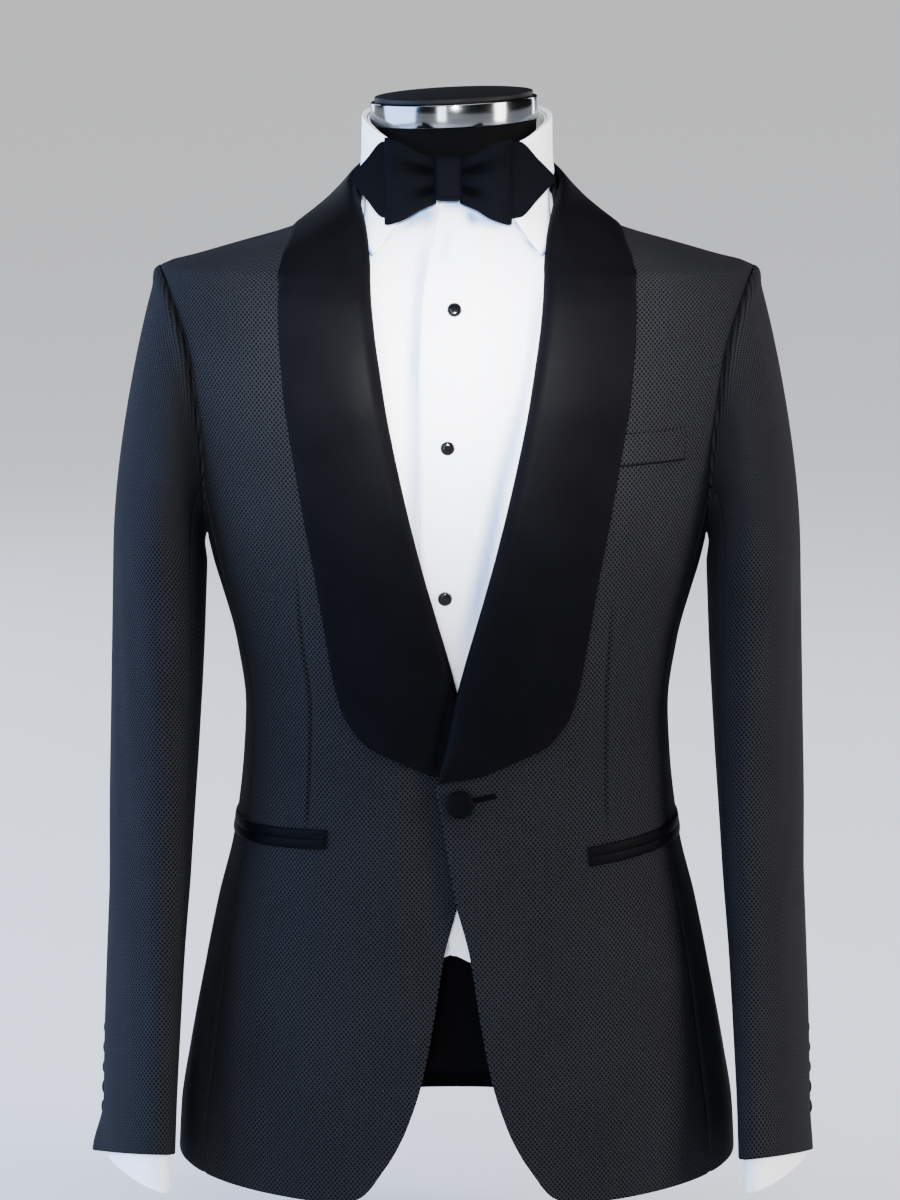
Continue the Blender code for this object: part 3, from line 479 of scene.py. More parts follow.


# A sheet with a rounded rim: rows run up and columns to the right, as seen from outside. A third
# number beside u and v is painted shade: how far the cloth's colour is darkened in a hollow or
# along an edge.
def clothShell(name, grid, uv, thick, outside, inside=None, wrap=False, side=1):
    if side < 0:
        grid, uv = (grid * (side, 1, 1))[:, ::-1], uv[:, ::-1]
        if wrap:
            grid, uv = np.roll(grid, 1, axis=1), np.roll(uv, 1, axis=1)
    normals = gridNormals(grid, wrap)
    rows, columns = grid.shape[:2]
    half = thick / 2
    layers = [grid, grid - normals * thick]
    count = rows * columns
    numbers = np.arange(count).reshape(rows, columns)
    outer, inner = numbers, numbers + count
    if wrap:
        outer, inner = (np.concatenate((n, n[:, :1]), axis=1) for n in (outer, inner))
    quads = [outer[:-1, :-1], outer[:-1, 1:], outer[1:, 1:], outer[1:, :-1]]
    faces = [np.stack(quads, axis=-1).reshape(-1, 4)]
    quads = [inner[:-1, :-1], inner[1:, :-1], inner[1:, 1:], inner[:-1, 1:]]
    faces.append(np.stack(quads, axis=-1).reshape(-1, 4))
    backs = len(faces[0])
    # The rim: one more line of points halfway through the wall, pushed out to round it.
    if wrap:
        loops = [(numbers[0], grid[0] - grid[1], False), (numbers[-1], grid[-1] - grid[-2], True)]
    else:
        border = np.concatenate(
            (numbers[0, :-1], numbers[:-1, -1], numbers[-1, :0:-1], numbers[:0:-1, 0])
        )
        inset = (np.clip(np.arange(size), 1, size - 2) for size in (rows, columns))
        inward = grid[np.ix_(*inset)]
        loops = [(border, (grid - inward).reshape(-1, 3)[border], False)]
    extra, extraUv, start = [], [], 2 * count
    flat, flatNormal = grid.reshape(-1, 3), normals.reshape(-1, 3)
    flatUv = uv.reshape(len(flat), -1)
    for line, out, last in loops:
        extra.append(flat[line] - flatNormal[line] * half + unit(out) * half)
        extraUv.append(flatUv[line])
        middle = start + np.arange(len(line))
        start += len(line)
        a, b, m = line, np.roll(line, -1), np.roll(middle, -1)
        first = np.stack((a, middle, m, b), axis=-1)
        second = np.stack((middle, a + count, b + count, m), axis=-1)
        rim = np.concatenate((first, second))
        faces.append(rim[:, ::-1] if last else rim)
    allPoints = np.concatenate([layer.reshape(-1, 3) for layer in layers] + extra) * mm
    allUv = np.concatenate([flatUv, flatUv] + extraUv)
    allFaces = np.concatenate(faces)
    mesh = bpy.data.meshes.new(name)
    mesh.from_pydata(allPoints.tolist(), [], allFaces.tolist())
    layer = mesh.uv_layers.new(name="cloth")
    corners = np.empty(len(mesh.loops), np.int32)
    mesh.loops.foreach_get("vertex_index", corners)
    layer.data.foreach_set("uv", (allUv[corners, :2] * mm).astype(np.float32).ravel())
    # The third number is kept as a point attribute of painted shade, which the materials read to
    # darken the colour.
    if allUv.shape[1] > 2:
        creaseAndPaintedShade = mesh.attributes.new("creaseAndPaintedShade", "FLOAT", "POINT")
        creaseAndPaintedShade.data.foreach_set("value", allUv[:, 2].astype(np.float32))
    mesh.materials.append(outside)
    if inside:
        mesh.materials.append(inside)
        index = np.zeros(len(allFaces), np.int32)
        index[backs : 2 * backs] = 1
        mesh.polygons.foreach_set("material_index", index)
    mesh.shade_smooth()
    mesh.validate()
    made = bpy.data.objects.new(name, mesh)
    bpy.context.scene.collection.objects.link(made)
    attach(made, "root")
    piece, suffix = name.partition("_")[::2]
    if piece in clothCuts:
        slot, *nodes = clothNodes[piece]
        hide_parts(*(node.format(suffix) for node in nodes))
    return made


# Folds are laid on the cloth's own two lengths: each runs from one place to another,
# bends by bow, and is a ridge where deep is positive and a trough where it is negative.
foldColumns = "u1 v1 u2 v2 bow wide deep"
foldShape = {
    "rise": (-0.12, 0.3),
    "fall": (0.6, 1.12),
    "widths": (0.75, 1.25),
    "dip": (0.45, 1.9),
}


def folded(u, v, rows):
    lift = np.zeros(np.broadcast(u, v).shape)
    dipDeep, dipWide = foldShape["dip"]
    for u1, v1, u2, v2, bow, wide, deep in zip(*rows.values()):
        along = np.array([u2 - u1, v2 - v1])
        size = np.hypot(*along)
        along = along / size
        t = ((u - u1) * along[0] + (v - v1) * along[1]) / size
        off = -(u - u1) * along[1] + (v - v1) * along[0] - bow * 4 * t * (1 - t)
        fade = smooth(t, *foldShape["rise"]) * (1 - smooth(t, *foldShape["fall"]))
        spread = wide * mix(*foldShape["widths"], np.clip(t, 0, 1))
        ridge = hump(off, spread) - dipDeep * hump(off / spread, dipWide)
        lift += deep * fade * ridge
    return lift


# A seam draws the cloth down beside it; away is the distance from the seam.
def seamRoll(away, deep, wide):
    return -deep * hump(away, wide)


# The same beside both ends of a row.
def seamRolls(across, deep, wide):
    return seamRoll(across, deep, wide) + seamRoll(across[:, [-1]] - across, deep, wide)


# The cloth's length round the body from the middle of the front, which carries the weave.
def roundBody(turn, height):
    t = np.linspace(-180, 180, 361)
    rows = height if np.ndim(height) == 1 else height[:, 0]
    out = np.empty(turn.shape)
    for i, level in enumerate(rows):
        run = lengths(bodyRing(t, level), 0)
        out[i] = np.interp(turn[i], t, run - run[len(t) // 2])
    return out


# The weave's length up the cloth: its height on the body, and its own run over the shoulder.
def upCloth(grid, rows, height, start=730):
    run = lengths(grid, 0)
    first = int(np.argmax(rows[:, 0] >= start))
    return np.where(rows < start, height, height[first] + run - run[first])


underFront = {"drop": 5.6, "across": (-52, -16), "skirt": (190, 300), "chest": (490, 600)}


# The wearer's right front sinks where the left one closes over it.
def underLift(side, across, height):
    if side > 0:
        return np.zeros(np.broadcast(across, height).shape)
    upward = smooth(height, *underFront["skirt"]) * (1 - smooth(height, *underFront["chest"]))
    return -underFront["drop"] * smooth(across, *underFront["across"]) * upward


# Jacket body: fronts with a dart each, side panels and backs.
bodyCloth = {
    "pitch": 4.2,
    "seam": (0.9, 2.6),
    "dart": (1.7, 1.5),
    "dartHeld": (0.25, 0.75),
    "dartHeights": {"l": (364, 566), "r": (366, 586)},
    "dartFades": (20, 60),
    "dartRidge": {"lift": 0.6, "beside": 3.2, "wide": 1.8},
}
dartRows = {
    "l": table(
        "height across",
        (300, 112),
        (361, 111),
        (415, 110),
        (468, 110),
        (520, 112.5),
        (569, 115),
        (842, 117),
    ),
    "r": table(
        "height across",
        (300, 110),
        (372, 111),
        (415, 109),
        (459, 108),
        (524, 115),
        (560, 116.5),
        (842, 118),
    ),
}
frontFolds = {
    "l": table(
        foldColumns,
        (150, 690, 92, 560, 6, 15, 1.5),
        (172, 660, 128, 505, -8, 12, -1.3),
        (60, 350, 118, 250, 10, 20, 1.2),
        (170, 400, 96, 330, -6, 14, 1.0),
        (176, 300, 170, 110, 4, 15, 2.2),
        (142, 260, 138, 104, -3, 15, -1.6),
        (100, 200, 112, 100, 2, 16, 1.0),
        (110, 785, 150, 700, 5, 14, -1.0),
        (40, 380, 130, 300, -8, 13, -0.9),
    ),
    "r": table(
        foldColumns,
        (148, 680, 96, 545, 7, 14, 1.4),
        (170, 640, 132, 500, -7, 12, -1.4),
        (50, 345, 112, 262, 9, 19, 1.1),
        (168, 395, 100, 320, -5, 15, 1.1),
        (178, 310, 168, 112, 5, 14, 2.0),
        (146, 255, 136, 100, -3, 14, -1.7),
        (96, 210, 108, 98, 2, 17, 0.9),
        (118, 780, 152, 705, 5, 15, -1.1),
        (30, 372, 120, 292, -8, 14, -1.0),
    ),
}


def panelRows(pitch):
    arm = armHeight(np.arange(cut["seamArm"], -1, -3.0))
    skirt = join(steps(cut["hem"], 120, 1.8), steps(120, seamJoin, pitch))
    return join(skirt, arm, steps(cut["armTop"], cut["shoulder"], 3.0))


def jacketFront(side, suffix, outside, inside):
    values = bodyCloth
    rows = panelRows(values["pitch"])[:, None]
    dart = column(dartRows[suffix], "height", "across")
    half = (1 - np.cos(math.pi * np.linspace(0, 1, 34))) / 2
    share = join(half, 1 + half)[None, :]
    overhang = cut["overhang"] * smooth(rows, *cut["overhangHeights"])
    edge = turnAt(frontEdge(rows) + overhang, rows)
    outer = outerTurn(rows)
    # The dart's line, held between the front's edge and its outer seam where these draw in.
    line = turnAt(dart(rows), rows)
    line = np.clip(line, *(edge + part * (outer - edge) for part in values["dartHeld"]))
    first = turnAlong(edge, line, np.clip(share, 0, 1), rows)
    second = turnBetween(line, outer, np.clip(share - 1, 0, 1), rows)
    turn = np.where(share <= 1, first, second)
    height = rows + hemRise(turn, rows)
    base = bodyRing(turn * side, height)
    u, v = roundBody(turn, rows), height
    across = lengths(bodyRing(turn, height), 1)
    fromDart = across - across[:, [len(half) - 1]]
    lift = underLift(side, base[..., 0], height) + folded(u, v, frontFolds[suffix])
    lift += seamRoll(across[:, [-1]] - across, *values["seam"])
    (low, top), (fadeIn, fadeOut) = values["dartHeights"][suffix], values["dartFades"]
    along = smooth(height, low, low + fadeIn) * (1 - smooth(height, top - fadeOut, top))
    lift += along * seamRoll(fromDart, *values["dart"])
    ridge = values["dartRidge"]
    lift += along * ridge["lift"] * hump(fromDart - ridge["beside"], ridge["wide"])
    grid = onBody(turn * side, height, lift) * (side, 1, 1)
    uv = points(u * side, upCloth(grid, rows, v))
    clothShell("frontCloth_" + suffix, grid, uv, cut["wall"], outside, inside, side=side)


def jacketSide(side, suffix, outside, inside):
    psis = np.arange(cut["seamArm"], 361 - cut["seamArm"], 3.0)
    turns, tops = armTurn(psis), armHeight(psis)
    share = ((turns - turns[0]) / (turns[-1] - turns[0]))[None, :]
    rows = steps(0, 1, 1.0 / (125), ends=0.35)[:, None]
    height = mix(cut["hem"], tops[None, :] - cut["seamGap"], rows)
    seam = seamTurn(height) + gapTurn(height)
    turn = turnBetween(seam, 180 - seam, share, height)
    u = roundBody(turn, height)
    across = lengths(bodyRing(turn, height), 1)
    top = tops[None, :] - height
    risen = height + hemRise(turn, height)
    # The folds lie between the panel's two seams at three of its levels.
    low, waist, high = (int(len(rows) * part) for part in (0.06, 0.4, 0.85))
    folds = table(
        foldColumns,
        (u[waist, 0] + 20, 420, u[low, 0] + 34, 110, 4, 12, 1.8),
        (u[waist, -1] - 24, 400, u[low, -1] - 40, 112, -4, 13, -1.6),
        (u[high, 10] + 10, 560, u[waist, 10] + 4, 430, 5, 11, -1.2),
    )
    lift = folded(u, risen, folds)
    lift += seamRolls(across, *bodyCloth["seam"])
    lift += seamRoll(top, *bodyCloth["seam"])
    grid = onBody(turn, risen, lift)
    uv = points(u * side, risen)
    clothShell("sideCloth_" + suffix, grid, uv, cut["wall"], outside, inside, side=side)


backFolds = table(
    foldColumns,
    (330, 700, 372, 520, 10, 14, 1.8),
    (300, 640, 350, 500, 8, 12, -1.5),
    (395, 760, 380, 640, 4, 14, 1.2),
    (372, 440, 330, 330, -8, 15, 1.5),
    (398, 430, 384, 300, -3, 12, -1.3),
    (330, 300, 322, 110, 4, 17, 2.2),
    (372, 280, 378, 110, 3, 15, 1.5),
    (352, 250, 350, 108, 2, 14, -1.4),
)


def jacketBack(side, suffix, outside, inside):
    rows = panelRows(bodyCloth["pitch"])[:, None]
    share = steps(0, 1, 1 / (50), ends=0.7)[None, :]
    turn = turnBetween(180 - gapTurn(rows), 180 - outerTurn(rows), share, rows)
    height = rows + hemRise(turn, rows)
    u = roundBody(turn, rows)
    across = lengths(bodyRing(turn, height), 1)
    lift = folded(u - u[:, [0]] + 400, height, backFolds)
    lift += seamRolls(across, *bodyCloth["seam"])
    grid = onBody(turn, height, lift)
    uv = points(u * side, upCloth(grid, rows, height))[:, ::-1]
    grid = grid[:, ::-1]
    clothShell("backCloth_" + suffix, grid, uv, cut["wall"], outside, inside, side=side)


# Sleeves: a head from the armhole down to a ring under the arm, then rings to the hem.
sleeveRows = table(
    "height across along long short turn tilt",
    (116, 241.5, -66, 63, 22.5, 20, 16),
    (150, 240.5, -57, 63.5, 23, 19.5, 15.5),
    (200, 239, -45, 65, 24.5, 18.5, 14),
    (262, 236.5, -31, 68, 26, 17, 12),
    (320, 233.5, -19, 70.5, 28.5, 15, 10),
    (380, 231, -9, 73, 31, 13, 7),
    (440, 228.5, -2, 76, 33, 11, 3),
    (500, 226, 1, 80, 34.5, 9, 1),
    (556, 224, 2, 84, 35.5, 6, 0),
)
sleeveAt = {name: column(sleeveRows, "height", name) for name in sleeveRows if name != "height"}
sleeveCloth = {
    "top": 556,
    "hem": 116,
    "under": (126, 252),
    "seamTrim": 0.4,
    "pitch": 4.6,
    "turnStep": 4.5,
    "rope": {"lift": 2.4, "down": 6, "wide": 7.0},
    "headSeam": (1.2, 2.2),
    "longSeam": (0.8, 2.2),
    "hemSlant": {"l": (-6.5, -0.5), "r": (-2.6, -1.4)},
    "hemWide": 56,
    "hemLevel": 1.93,
    "turnedIn": ((1.6, 0.8), (3.6, -2.2)),
    "vent": {
        "l": {"psi": 308, "wide": 24, "level": 1.93, "deep": 1.5},
        "r": {"psi": 308, "wide": 24, "level": 1.92, "deep": 8.0},
    },
}


def sleeveRing(psi, height, smaller=0.0, tilt=None):
    angle, turn = np.radians(psi), np.radians(sleeveAt["turn"](height))
    long = (sleeveAt["long"](height) - smaller) * np.sin(angle)
    short = (sleeveAt["short"](height) - smaller) * np.cos(angle)
    x = np.cos(turn) * short - np.sin(turn) * long
    y = -np.sin(turn) * short - np.cos(turn) * long
    tip = np.tan(np.radians(sleeveAt["tilt"](height) if tilt is None else tilt))
    return points(sleeveAt["across"](height) + x, sleeveAt["along"](height) + y, height - y * tip)


def sleevePoint(psi, level, sunk=0.0, shrink=0.3, smaller=0.0, reach=0.0):
    psi, level = np.broadcast_arrays(np.asarray(psi, float), np.asarray(level, float))
    angle = np.radians(psi)
    cosine, sine = np.cos(angle), np.sin(angle)
    drawn = shrink + 0.15 * reach * (1 - cosine)
    rootHeight = armHeight(psi) - drawn * cosine
    rootTurn = armTurn(psi) + np.degrees(drawn / bodySide(rootHeight)) * sine
    start = onBody(rootTurn, rootHeight, np.full(psi.shape, -sunk))
    end = sleeveRing(psi, np.full(psi.shape, float(sleeveCloth["top"])), smaller)
    out = points(11 - 3 * cosine + 26 * sine**2, -30 * sine, 6 + 18 * cosine - 26 * sine**2)
    out += (reach * (1 - cosine))[..., None] * np.array([0.5, 0, 0.25])
    down = np.zeros_like(out)
    down[..., 2] = -1.3 * (start[..., 2] - end[..., 2])
    t = np.clip(level, 0, 1)[..., None]
    head = start * (1 + 2 * t) * (1 - t) ** 2 + out * t * (1 - t) ** 2
    head += end * t * t * (3 - 2 * t) - down * t * t * (1 - t)
    height = mix(sleeveCloth["top"], sleeveCloth["hem"], np.clip(level - 1, 0, 1.2))
    return np.where((level > 1)[..., None], sleeveRing(psi, height, smaller), head)


# The head and the rings meet with a slight change of slope, which this softens.
def sleeveGrid(psis, levels, **inner):
    psi, level = np.meshgrid(psis, levels)
    base = sleevePoint(psi, level, **inner)
    near = smooth(level, 0.7, 1.0) * (1 - smooth(level, 1.0, 1.2))
    low = sleevePoint(psi, np.clip(level - 0.08, 0, 2), **inner)
    high = sleevePoint(psi, np.clip(level + 0.06, 0, 2), **inner)
    return mix(base, 0.5 * base + 0.25 * (low + high), (0.8 * near)[..., None])


# Round the sleeve u runs from the middle of the piece, below nought towards its front seam; v
# runs down from the armhole.
sleeveFolds = {
    "top_l": table(
        foldColumns,
        (-52, 130, -92, 400, 8, 14, 1.2),
        (-14, 190, -50, 500, -6, 16, -1.1),
        (-98, 300, -72, 600, 5, 12, -1.0),
        (-30, 420, -20, 640, 4, 14, 0.9),
        (36, 120, 84, 360, -8, 15, 1.3),
        (70, 330, 30, 560, 6, 13, -1.2),
    ),
    "top_r": table(
        foldColumns,
        (-48, 140, -88, 420, 7, 15, 1.1),
        (-12, 210, -46, 520, -7, 15, -1.2),
        (-100, 310, -70, 590, 6, 12, -0.9),
        (-34, 430, -24, 645, 5, 13, 1.0),
        (40, 110, 80, 380, -7, 14, 1.2),
        (66, 350, 34, 580, 6, 14, -1.2),
    ),
    "under_l": table(
        foldColumns,
        (-40, 60, 30, 260, 8, 13, 1.5),
        (34, 240, -20, 420, -6, 13, -1.3),
        (-30, 430, 10, 600, 5, 14, 1.0),
    ),
    "under_r": table(
        foldColumns,
        (-36, 70, 34, 280, 7, 14, 1.4),
        (30, 260, -24, 430, -6, 12, -1.4),
        (-26, 450, 12, 590, 5, 14, 1.1),
    ),
}


# From nought on the sleeve's inner side to one on its outer side.
def outwards(grid, height, wide):
    return np.clip((grid[..., 0] - sleeveAt["across"](height)) / wide + 0.5, 0, 1)


def sleevePiece(side, suffix, part, start, end, outside, inside):
    values = sleeveCloth
    inner = steps(start + 1.6, end - 1.6, values["turnStep"])
    psis = np.concatenate(([start + values["seamTrim"]], inner, [end - values["seamTrim"]]))
    head = join(steps(0, 0.12, 0.012), steps(0.12, 1, values["pitch"] / 225))
    arm = steps(1, 1.97, values["pitch"] / 440)
    levels = join(head, arm, np.array([1.97, 1.985, 1.995, 2.0]))
    psis, levels = psis[::-1], levels[::-1]
    base = sleeveGrid(psis, levels)
    girth = lengths(base, 1)
    u = girth - girth[:, [len(psis) // 2]]
    v = lengths(base[::-1], 0)[::-1]
    outward = smooth(np.cos(np.radians(psis)), -0.2, 0.5)[None, :]
    lift = folded(u, v, sleeveFolds[f"{part}_{suffix}"]) * smooth(v, 30, 90)
    rope, vent = values["rope"], values["vent"][suffix]
    lift += rope["lift"] * outward * hump(v - rope["down"], rope["wide"])
    lift += seamRoll(v, *values["headSeam"])
    lift += seamRoll(np.minimum(girth, girth[:, [-1]] - girth), *values["longSeam"])
    # The vent stands off the arm at the hem.
    fromVent = (np.mod(psis - vent["psi"] + 180, 360) - 180)[None, :]
    low = smooth(levels[:, None], vent["level"], 2.0)
    lift += vent["deep"] * hump(fromVent, vent["wide"]) * low
    grid = base + gridNormals(base) * lift[..., None]
    # The hem rises a little outwards.
    out = outwards(grid, values["hem"], values["hemWide"])
    low = smooth(levels[:, None], values["hemLevel"], 2.0)
    grid[..., 2] += mix(*values["hemSlant"][suffix], out) * low
    uv = points(u * side, lengths(base, 0))
    # The seam allowance turns in behind the armhole's edge.
    for sunk, shrink in values["turnedIn"]:
        grid = np.concatenate((grid, sleevePoint(psis, 0.0, sunk, shrink)[None]))
        uv = np.concatenate((uv, uv[-1:] + (0, sunk)))
    name = f"sleeve{part.capitalize()}_{suffix}"
    clothShell(name, grid, uv, cut["wall"], outside, inside, side=side)


def jacketSleeve(side, suffix, outside, inside):
    low, high = sleeveCloth["under"]
    sleevePiece(side, suffix, "top", high - 360, low, outside, inside)
    sleevePiece(side, suffix, "under", low, high, outside, inside)


# Shawl collar: fold line and outer edge, on the chest and then round the neck.
lapelFront = table(
    "foldAcross foldHeight edgeAcross edgeHeight",
    (-14.5, 410, -9, 411),
    (-12, 421, 15, 415),
    (-10, 431, 41, 425),
    (-6, 450, 67, 438),
    (-2, 469, 83, 461),
    (4.5, 495, 90, 487),
    (13, 525, 95, 517),
    (22.5, 559, 100.5, 551),
    (31, 592, 107, 588),
    (46, 658, 118.5, 654),
    (54, 702, 125, 697),
    (59.5, 739, 128, 731),
    (62.5, 770, 129, 758),
    (63.5, 797, 128.5, 776),
)
lapelNeck = table(
    "foldTurn foldHeight edgeTurn edgeHeight",
    (45, 815, 60.5, 789),
    (58, 828, 65.5, 800),
    (75, 838, 78, 808.5),
    (94, 846, 95, 812.5),
    (115, 854, 116, 813),
    (135, 862, 136, 812),
    (157, 868, 157, 809),
    (180, 871, 180, 807),
)
# From before the fold to the outer edge: how far it stands off the chest, and off the neck.
lapelRoll = table(
    "share chest neck",
    (0, -0.6, 7.8),
    (0.025, 2.0, 9.4),
    (0.07, 4.4, 10.2),
    (0.16, 6.2, 10),
    (0.32, 6.6, 9.2),
    (0.5, 6.2, 8.2),
    (0.68, 5.5, 7),
    (0.85, 4.7, 5.6),
    (1, 4.1, 4.1),
)
lapelChest, lapelNeckLift = (column(lapelRoll, "share", name) for name in ("chest", "neck"))
lapelFold = column(lapelFront, "foldHeight", "foldAcross")
lapelCloth = {
    "wall": 2.0,
    "flat": 2.5,
    "fullWidth": 60,
    "underLift": -2.9,
    "underRise": 14,
    "underPast": (3, 26),
    "edgeDrop": (0.5, 1.6),
    "straight": 0.75,
    "pitch": 4.0,
    "columns": 40,
}
lapelFolds = {
    "l": table(
        foldColumns,
        (18, 60, 40, 190, 4, 12, 0.7),
        (60, 110, 52, 260, -4, 13, -0.6),
        (30, 250, 44, 360, 3, 14, 0.5),
    ),
    "r": table(
        foldColumns,
        (22, 50, 44, 200, 4, 12, 0.6),
        (58, 130, 50, 280, -4, 13, -0.7),
        (26, 270, 40, 370, 3, 14, 0.5),
    ),
}


# The collar's lines read smoothly along its fold, from the button round to the back.
def lapelLines(pitch):
    chest = lapelFront
    foldTurn = turnAt(chest["foldAcross"], chest["foldHeight"])
    edgeTurn = turnAt(chest["edgeAcross"], chest["edgeHeight"])
    neck = lapelNeck
    shares = np.minimum(np.arange(1, len(neck["foldTurn"]) + 1) / 5, 1)
    lines = {
        "foldTurn": np.concatenate((foldTurn, neck["foldTurn"])),
        "foldHeight": np.concatenate((chest["foldHeight"], neck["foldHeight"])),
        "edgeTurn": np.concatenate((edgeTurn, neck["edgeTurn"])),
        "edgeHeight": np.concatenate((chest["edgeHeight"], neck["edgeHeight"])),
        "share": np.concatenate((np.zeros(len(foldTurn)), shares)),
    }
    last = 180 - gapTurn(cut["shoulder"])
    lines["foldTurn"][-1] = lines["edgeTurn"][-1] = last
    spots = bodyRing(lines["foldTurn"], lines["foldHeight"])
    spots = (spots + bodyRing(lines["edgeTurn"], lines["edgeHeight"])) / 2
    lines["run"] = run = lengths(spots, 0)
    at = join(steps(0, 14, 1.4), steps(14, run[-1] - 4, pitch), steps(run[-1] - 4, run[-1], 1.0))
    return {name: column(lines, "run", name)(at)[:, None] for name in lines}


def shawlCollar(side, suffix, satin, under):
    values = lapelCloth
    line = lapelLines(values["pitch"])
    share = line["share"]
    even = np.linspace(0.025, 1, values["columns"])
    at = np.unique(np.concatenate(([0, 0.008, 0.016], even, [0.985, 0.993])))[None, :]
    turn = mix(line["foldTurn"], line["edgeTurn"], at)
    height = mix(line["foldHeight"], line["edgeHeight"], at)
    foldSpot, edgeSpot = (
        onBody(line[name + "Turn"], line[name + "Height"], 0.0) for name in ("fold", "edge")
    )
    wide = np.linalg.norm(edgeSpot - foldSpot, axis=-1)
    chest = mix(values["flat"], lapelChest(at), np.minimum(wide / values["fullWidth"], 1))
    lift = mix(chest, lapelNeckLift(at), share)
    across = bodyRing(turn * side, height)[..., 0]
    lift = lift + underLift(side, across, height)
    if side < 0:
        past = smooth(lapelFold(height) - across, *values["underPast"])
        capped = np.minimum(lift, values["underLift"] + values["underRise"] * past)
        lift = np.where(share == 0, capped, lift)
    u, v = at * wide, line["run"] + 0 * at
    lift = lift + folded(u, v, lapelFolds[suffix]) * smooth(at, 0.1, 0.3) * smooth(wide, 30, 60)
    drop, dropWide = values["edgeDrop"]
    lift = lift - drop * hump((1 - at) * wide, dropWide) * smooth(wide, 10, 40)
    lying = onBody(turn * side, height, lift)
    # Round the neck it runs nearly straight from its fold to its edge.
    fold, edge = (
        onBody(line[name + "Turn"] * side, line[name + "Height"], lapelNeckLift(at))
        for name in ("fold", "edge")
    )
    straight = mix(fold, edge, at[..., None])
    grid = mix(lying, straight, (share * values["straight"])[..., None]) * (side, 1, 1)
    uv = points(u * side, v)
    clothShell("lapel_" + suffix, grid, uv, values["wall"], satin, under, side=side)


underCollarValues = {
    "turns": (112, 248),
    "low": 843.0,
    "underFold": 4.2,
    "lifts": (1.2, 6.7),
    "wall": 1.5,
}


def underCollar(wool):
    values = underCollarValues
    fold = column(lapelNeck, "foldTurn", "foldHeight")
    turn = steps(*values["turns"], 3.0)[None, :]
    row = steps(0, 1, 0.08)[:, None]
    top = fold(180 - np.abs(turn - 180)) - values["underFold"]
    height = mix(values["low"], top, row)
    grid = onBody(turn, height, mix(*values["lifts"], smooth(row, 0, 0.4)))
    clothShell("underCollar", grid, points(lengths(grid, 1), height), values["wall"], wool)


# Shirt: two fronts, the left over the right, a back, collar, stand, sleeves and cuffs.
shirtValues = {
    "wall": 1.2,
    "lift": -9.5,
    "shoulderLift": -4.4,
    "hem": 275,
    "notch": 6,
    "underAcross": -16,
    "underSink": 3.4,
    "underSinkAcross": (-58, -30),
    "pitch": 4.5,
    "standLow": 842.7,
    "leafLift": 4.4,
}
shirtEdge = column(
    table(
        "height across",
        (275, -4),
        (321, -12),
        (455, -25),
        (560, -27),
        (720, -27),
        (767, -25),
        (806, -19),
        (842, -12),
    ),
    "height",
    "across",
)
shirtFolds = {
    "l": table(
        foldColumns,
        (14, 822, 24, 690, 4, 6, 2.0),
        (30, 815, 22, 620, -6, 7, -2.2),
        (2, 812, -10, 740, 3, 6, 2.0),
        (-4, 822, -10, 770, 3, 5, -0.9),
        (42, 720, 6, 500, -5, 8, 2.6),
        (34, 660, 0, 470, 4, 7, -2.8),
        (22, 560, -6, 430, 3, 6, 2.2),
        (-14, 740, -18, 560, 2, 6, -0.8),
        (50, 790, 44, 640, 5, 7, 1.8),
        (4, 480, -10, 360, 2, 9, 0.9),
    ),
    "r": table(
        foldColumns,
        (-34, 815, -34, 560, -3, 6, -2.4),
        (-50, 800, -40, 640, -4, 8, 1.6),
        (-42, 690, -32, 520, 3, 7, -1.2),
        (-54, 760, -48, 600, 4, 8, 1.4),
    ),
}


# Painted shade beside the edge, the collar and the lapel, and under the bow, laid out like folds:
# pale blue in the hollows, dark in the shadows under edges.
shirtPaintedShade = {
    "l": table(
        foldColumns,
        (46, 700, 3, 492, 0, 9, 0.9),
        (65, 794, 37, 625, 0, 5, 0.7),
        (34, 640, 2, 500, 5, 6, 0.4),
        (-14, 836, 24, 833, 2, 9, 1.3),
        (2, 826, 42, 822, 0, 7, 1.2),
        (42, 826, 61, 800, 0, 4, 1.7),
        (6, 834, 14, 806, 2, 4, 0.5),
        (-6, 820, -12, 790, 1, 5, 0.4),
    ),
    "r": table(
        foldColumns,
        (-20, 830, -31, 690, -3, 8, 0.9),
        (-31, 740, -31, 560, 0, 6, 0.8),
        (-54, 826, -66, 799, 0, 4, 1.6),
        (-46, 822, -14, 834, 0, 9, 1.2),
    ),
}


def shirtLift(height):
    return mix(shirtValues["lift"], shirtValues["shoulderLift"], smooth(height, 730, 785))


def shirtOuter(height):
    beside = armTurn(armPsi(height))
    inArm = (height > cut["armLow"]) & (height < cut["armTop"])
    return np.where(inArm, beside, 90.0) - gapTurn(height)


def shirtRows():
    pitch = shirtValues["pitch"]
    arm = armHeight(np.arange(180, -1, -4.0))
    below = steps(shirtValues["hem"], cut["armLow"], pitch)
    return join(below, arm, steps(cut["armTop"], cut["shoulder"], 3.0))


def shirtHem(across, height):
    notch = shirtValues["notch"] * (1 - smooth(np.abs(across + 3), 0, 16))
    return notch * (1 - smooth(height, shirtValues["hem"], 321))


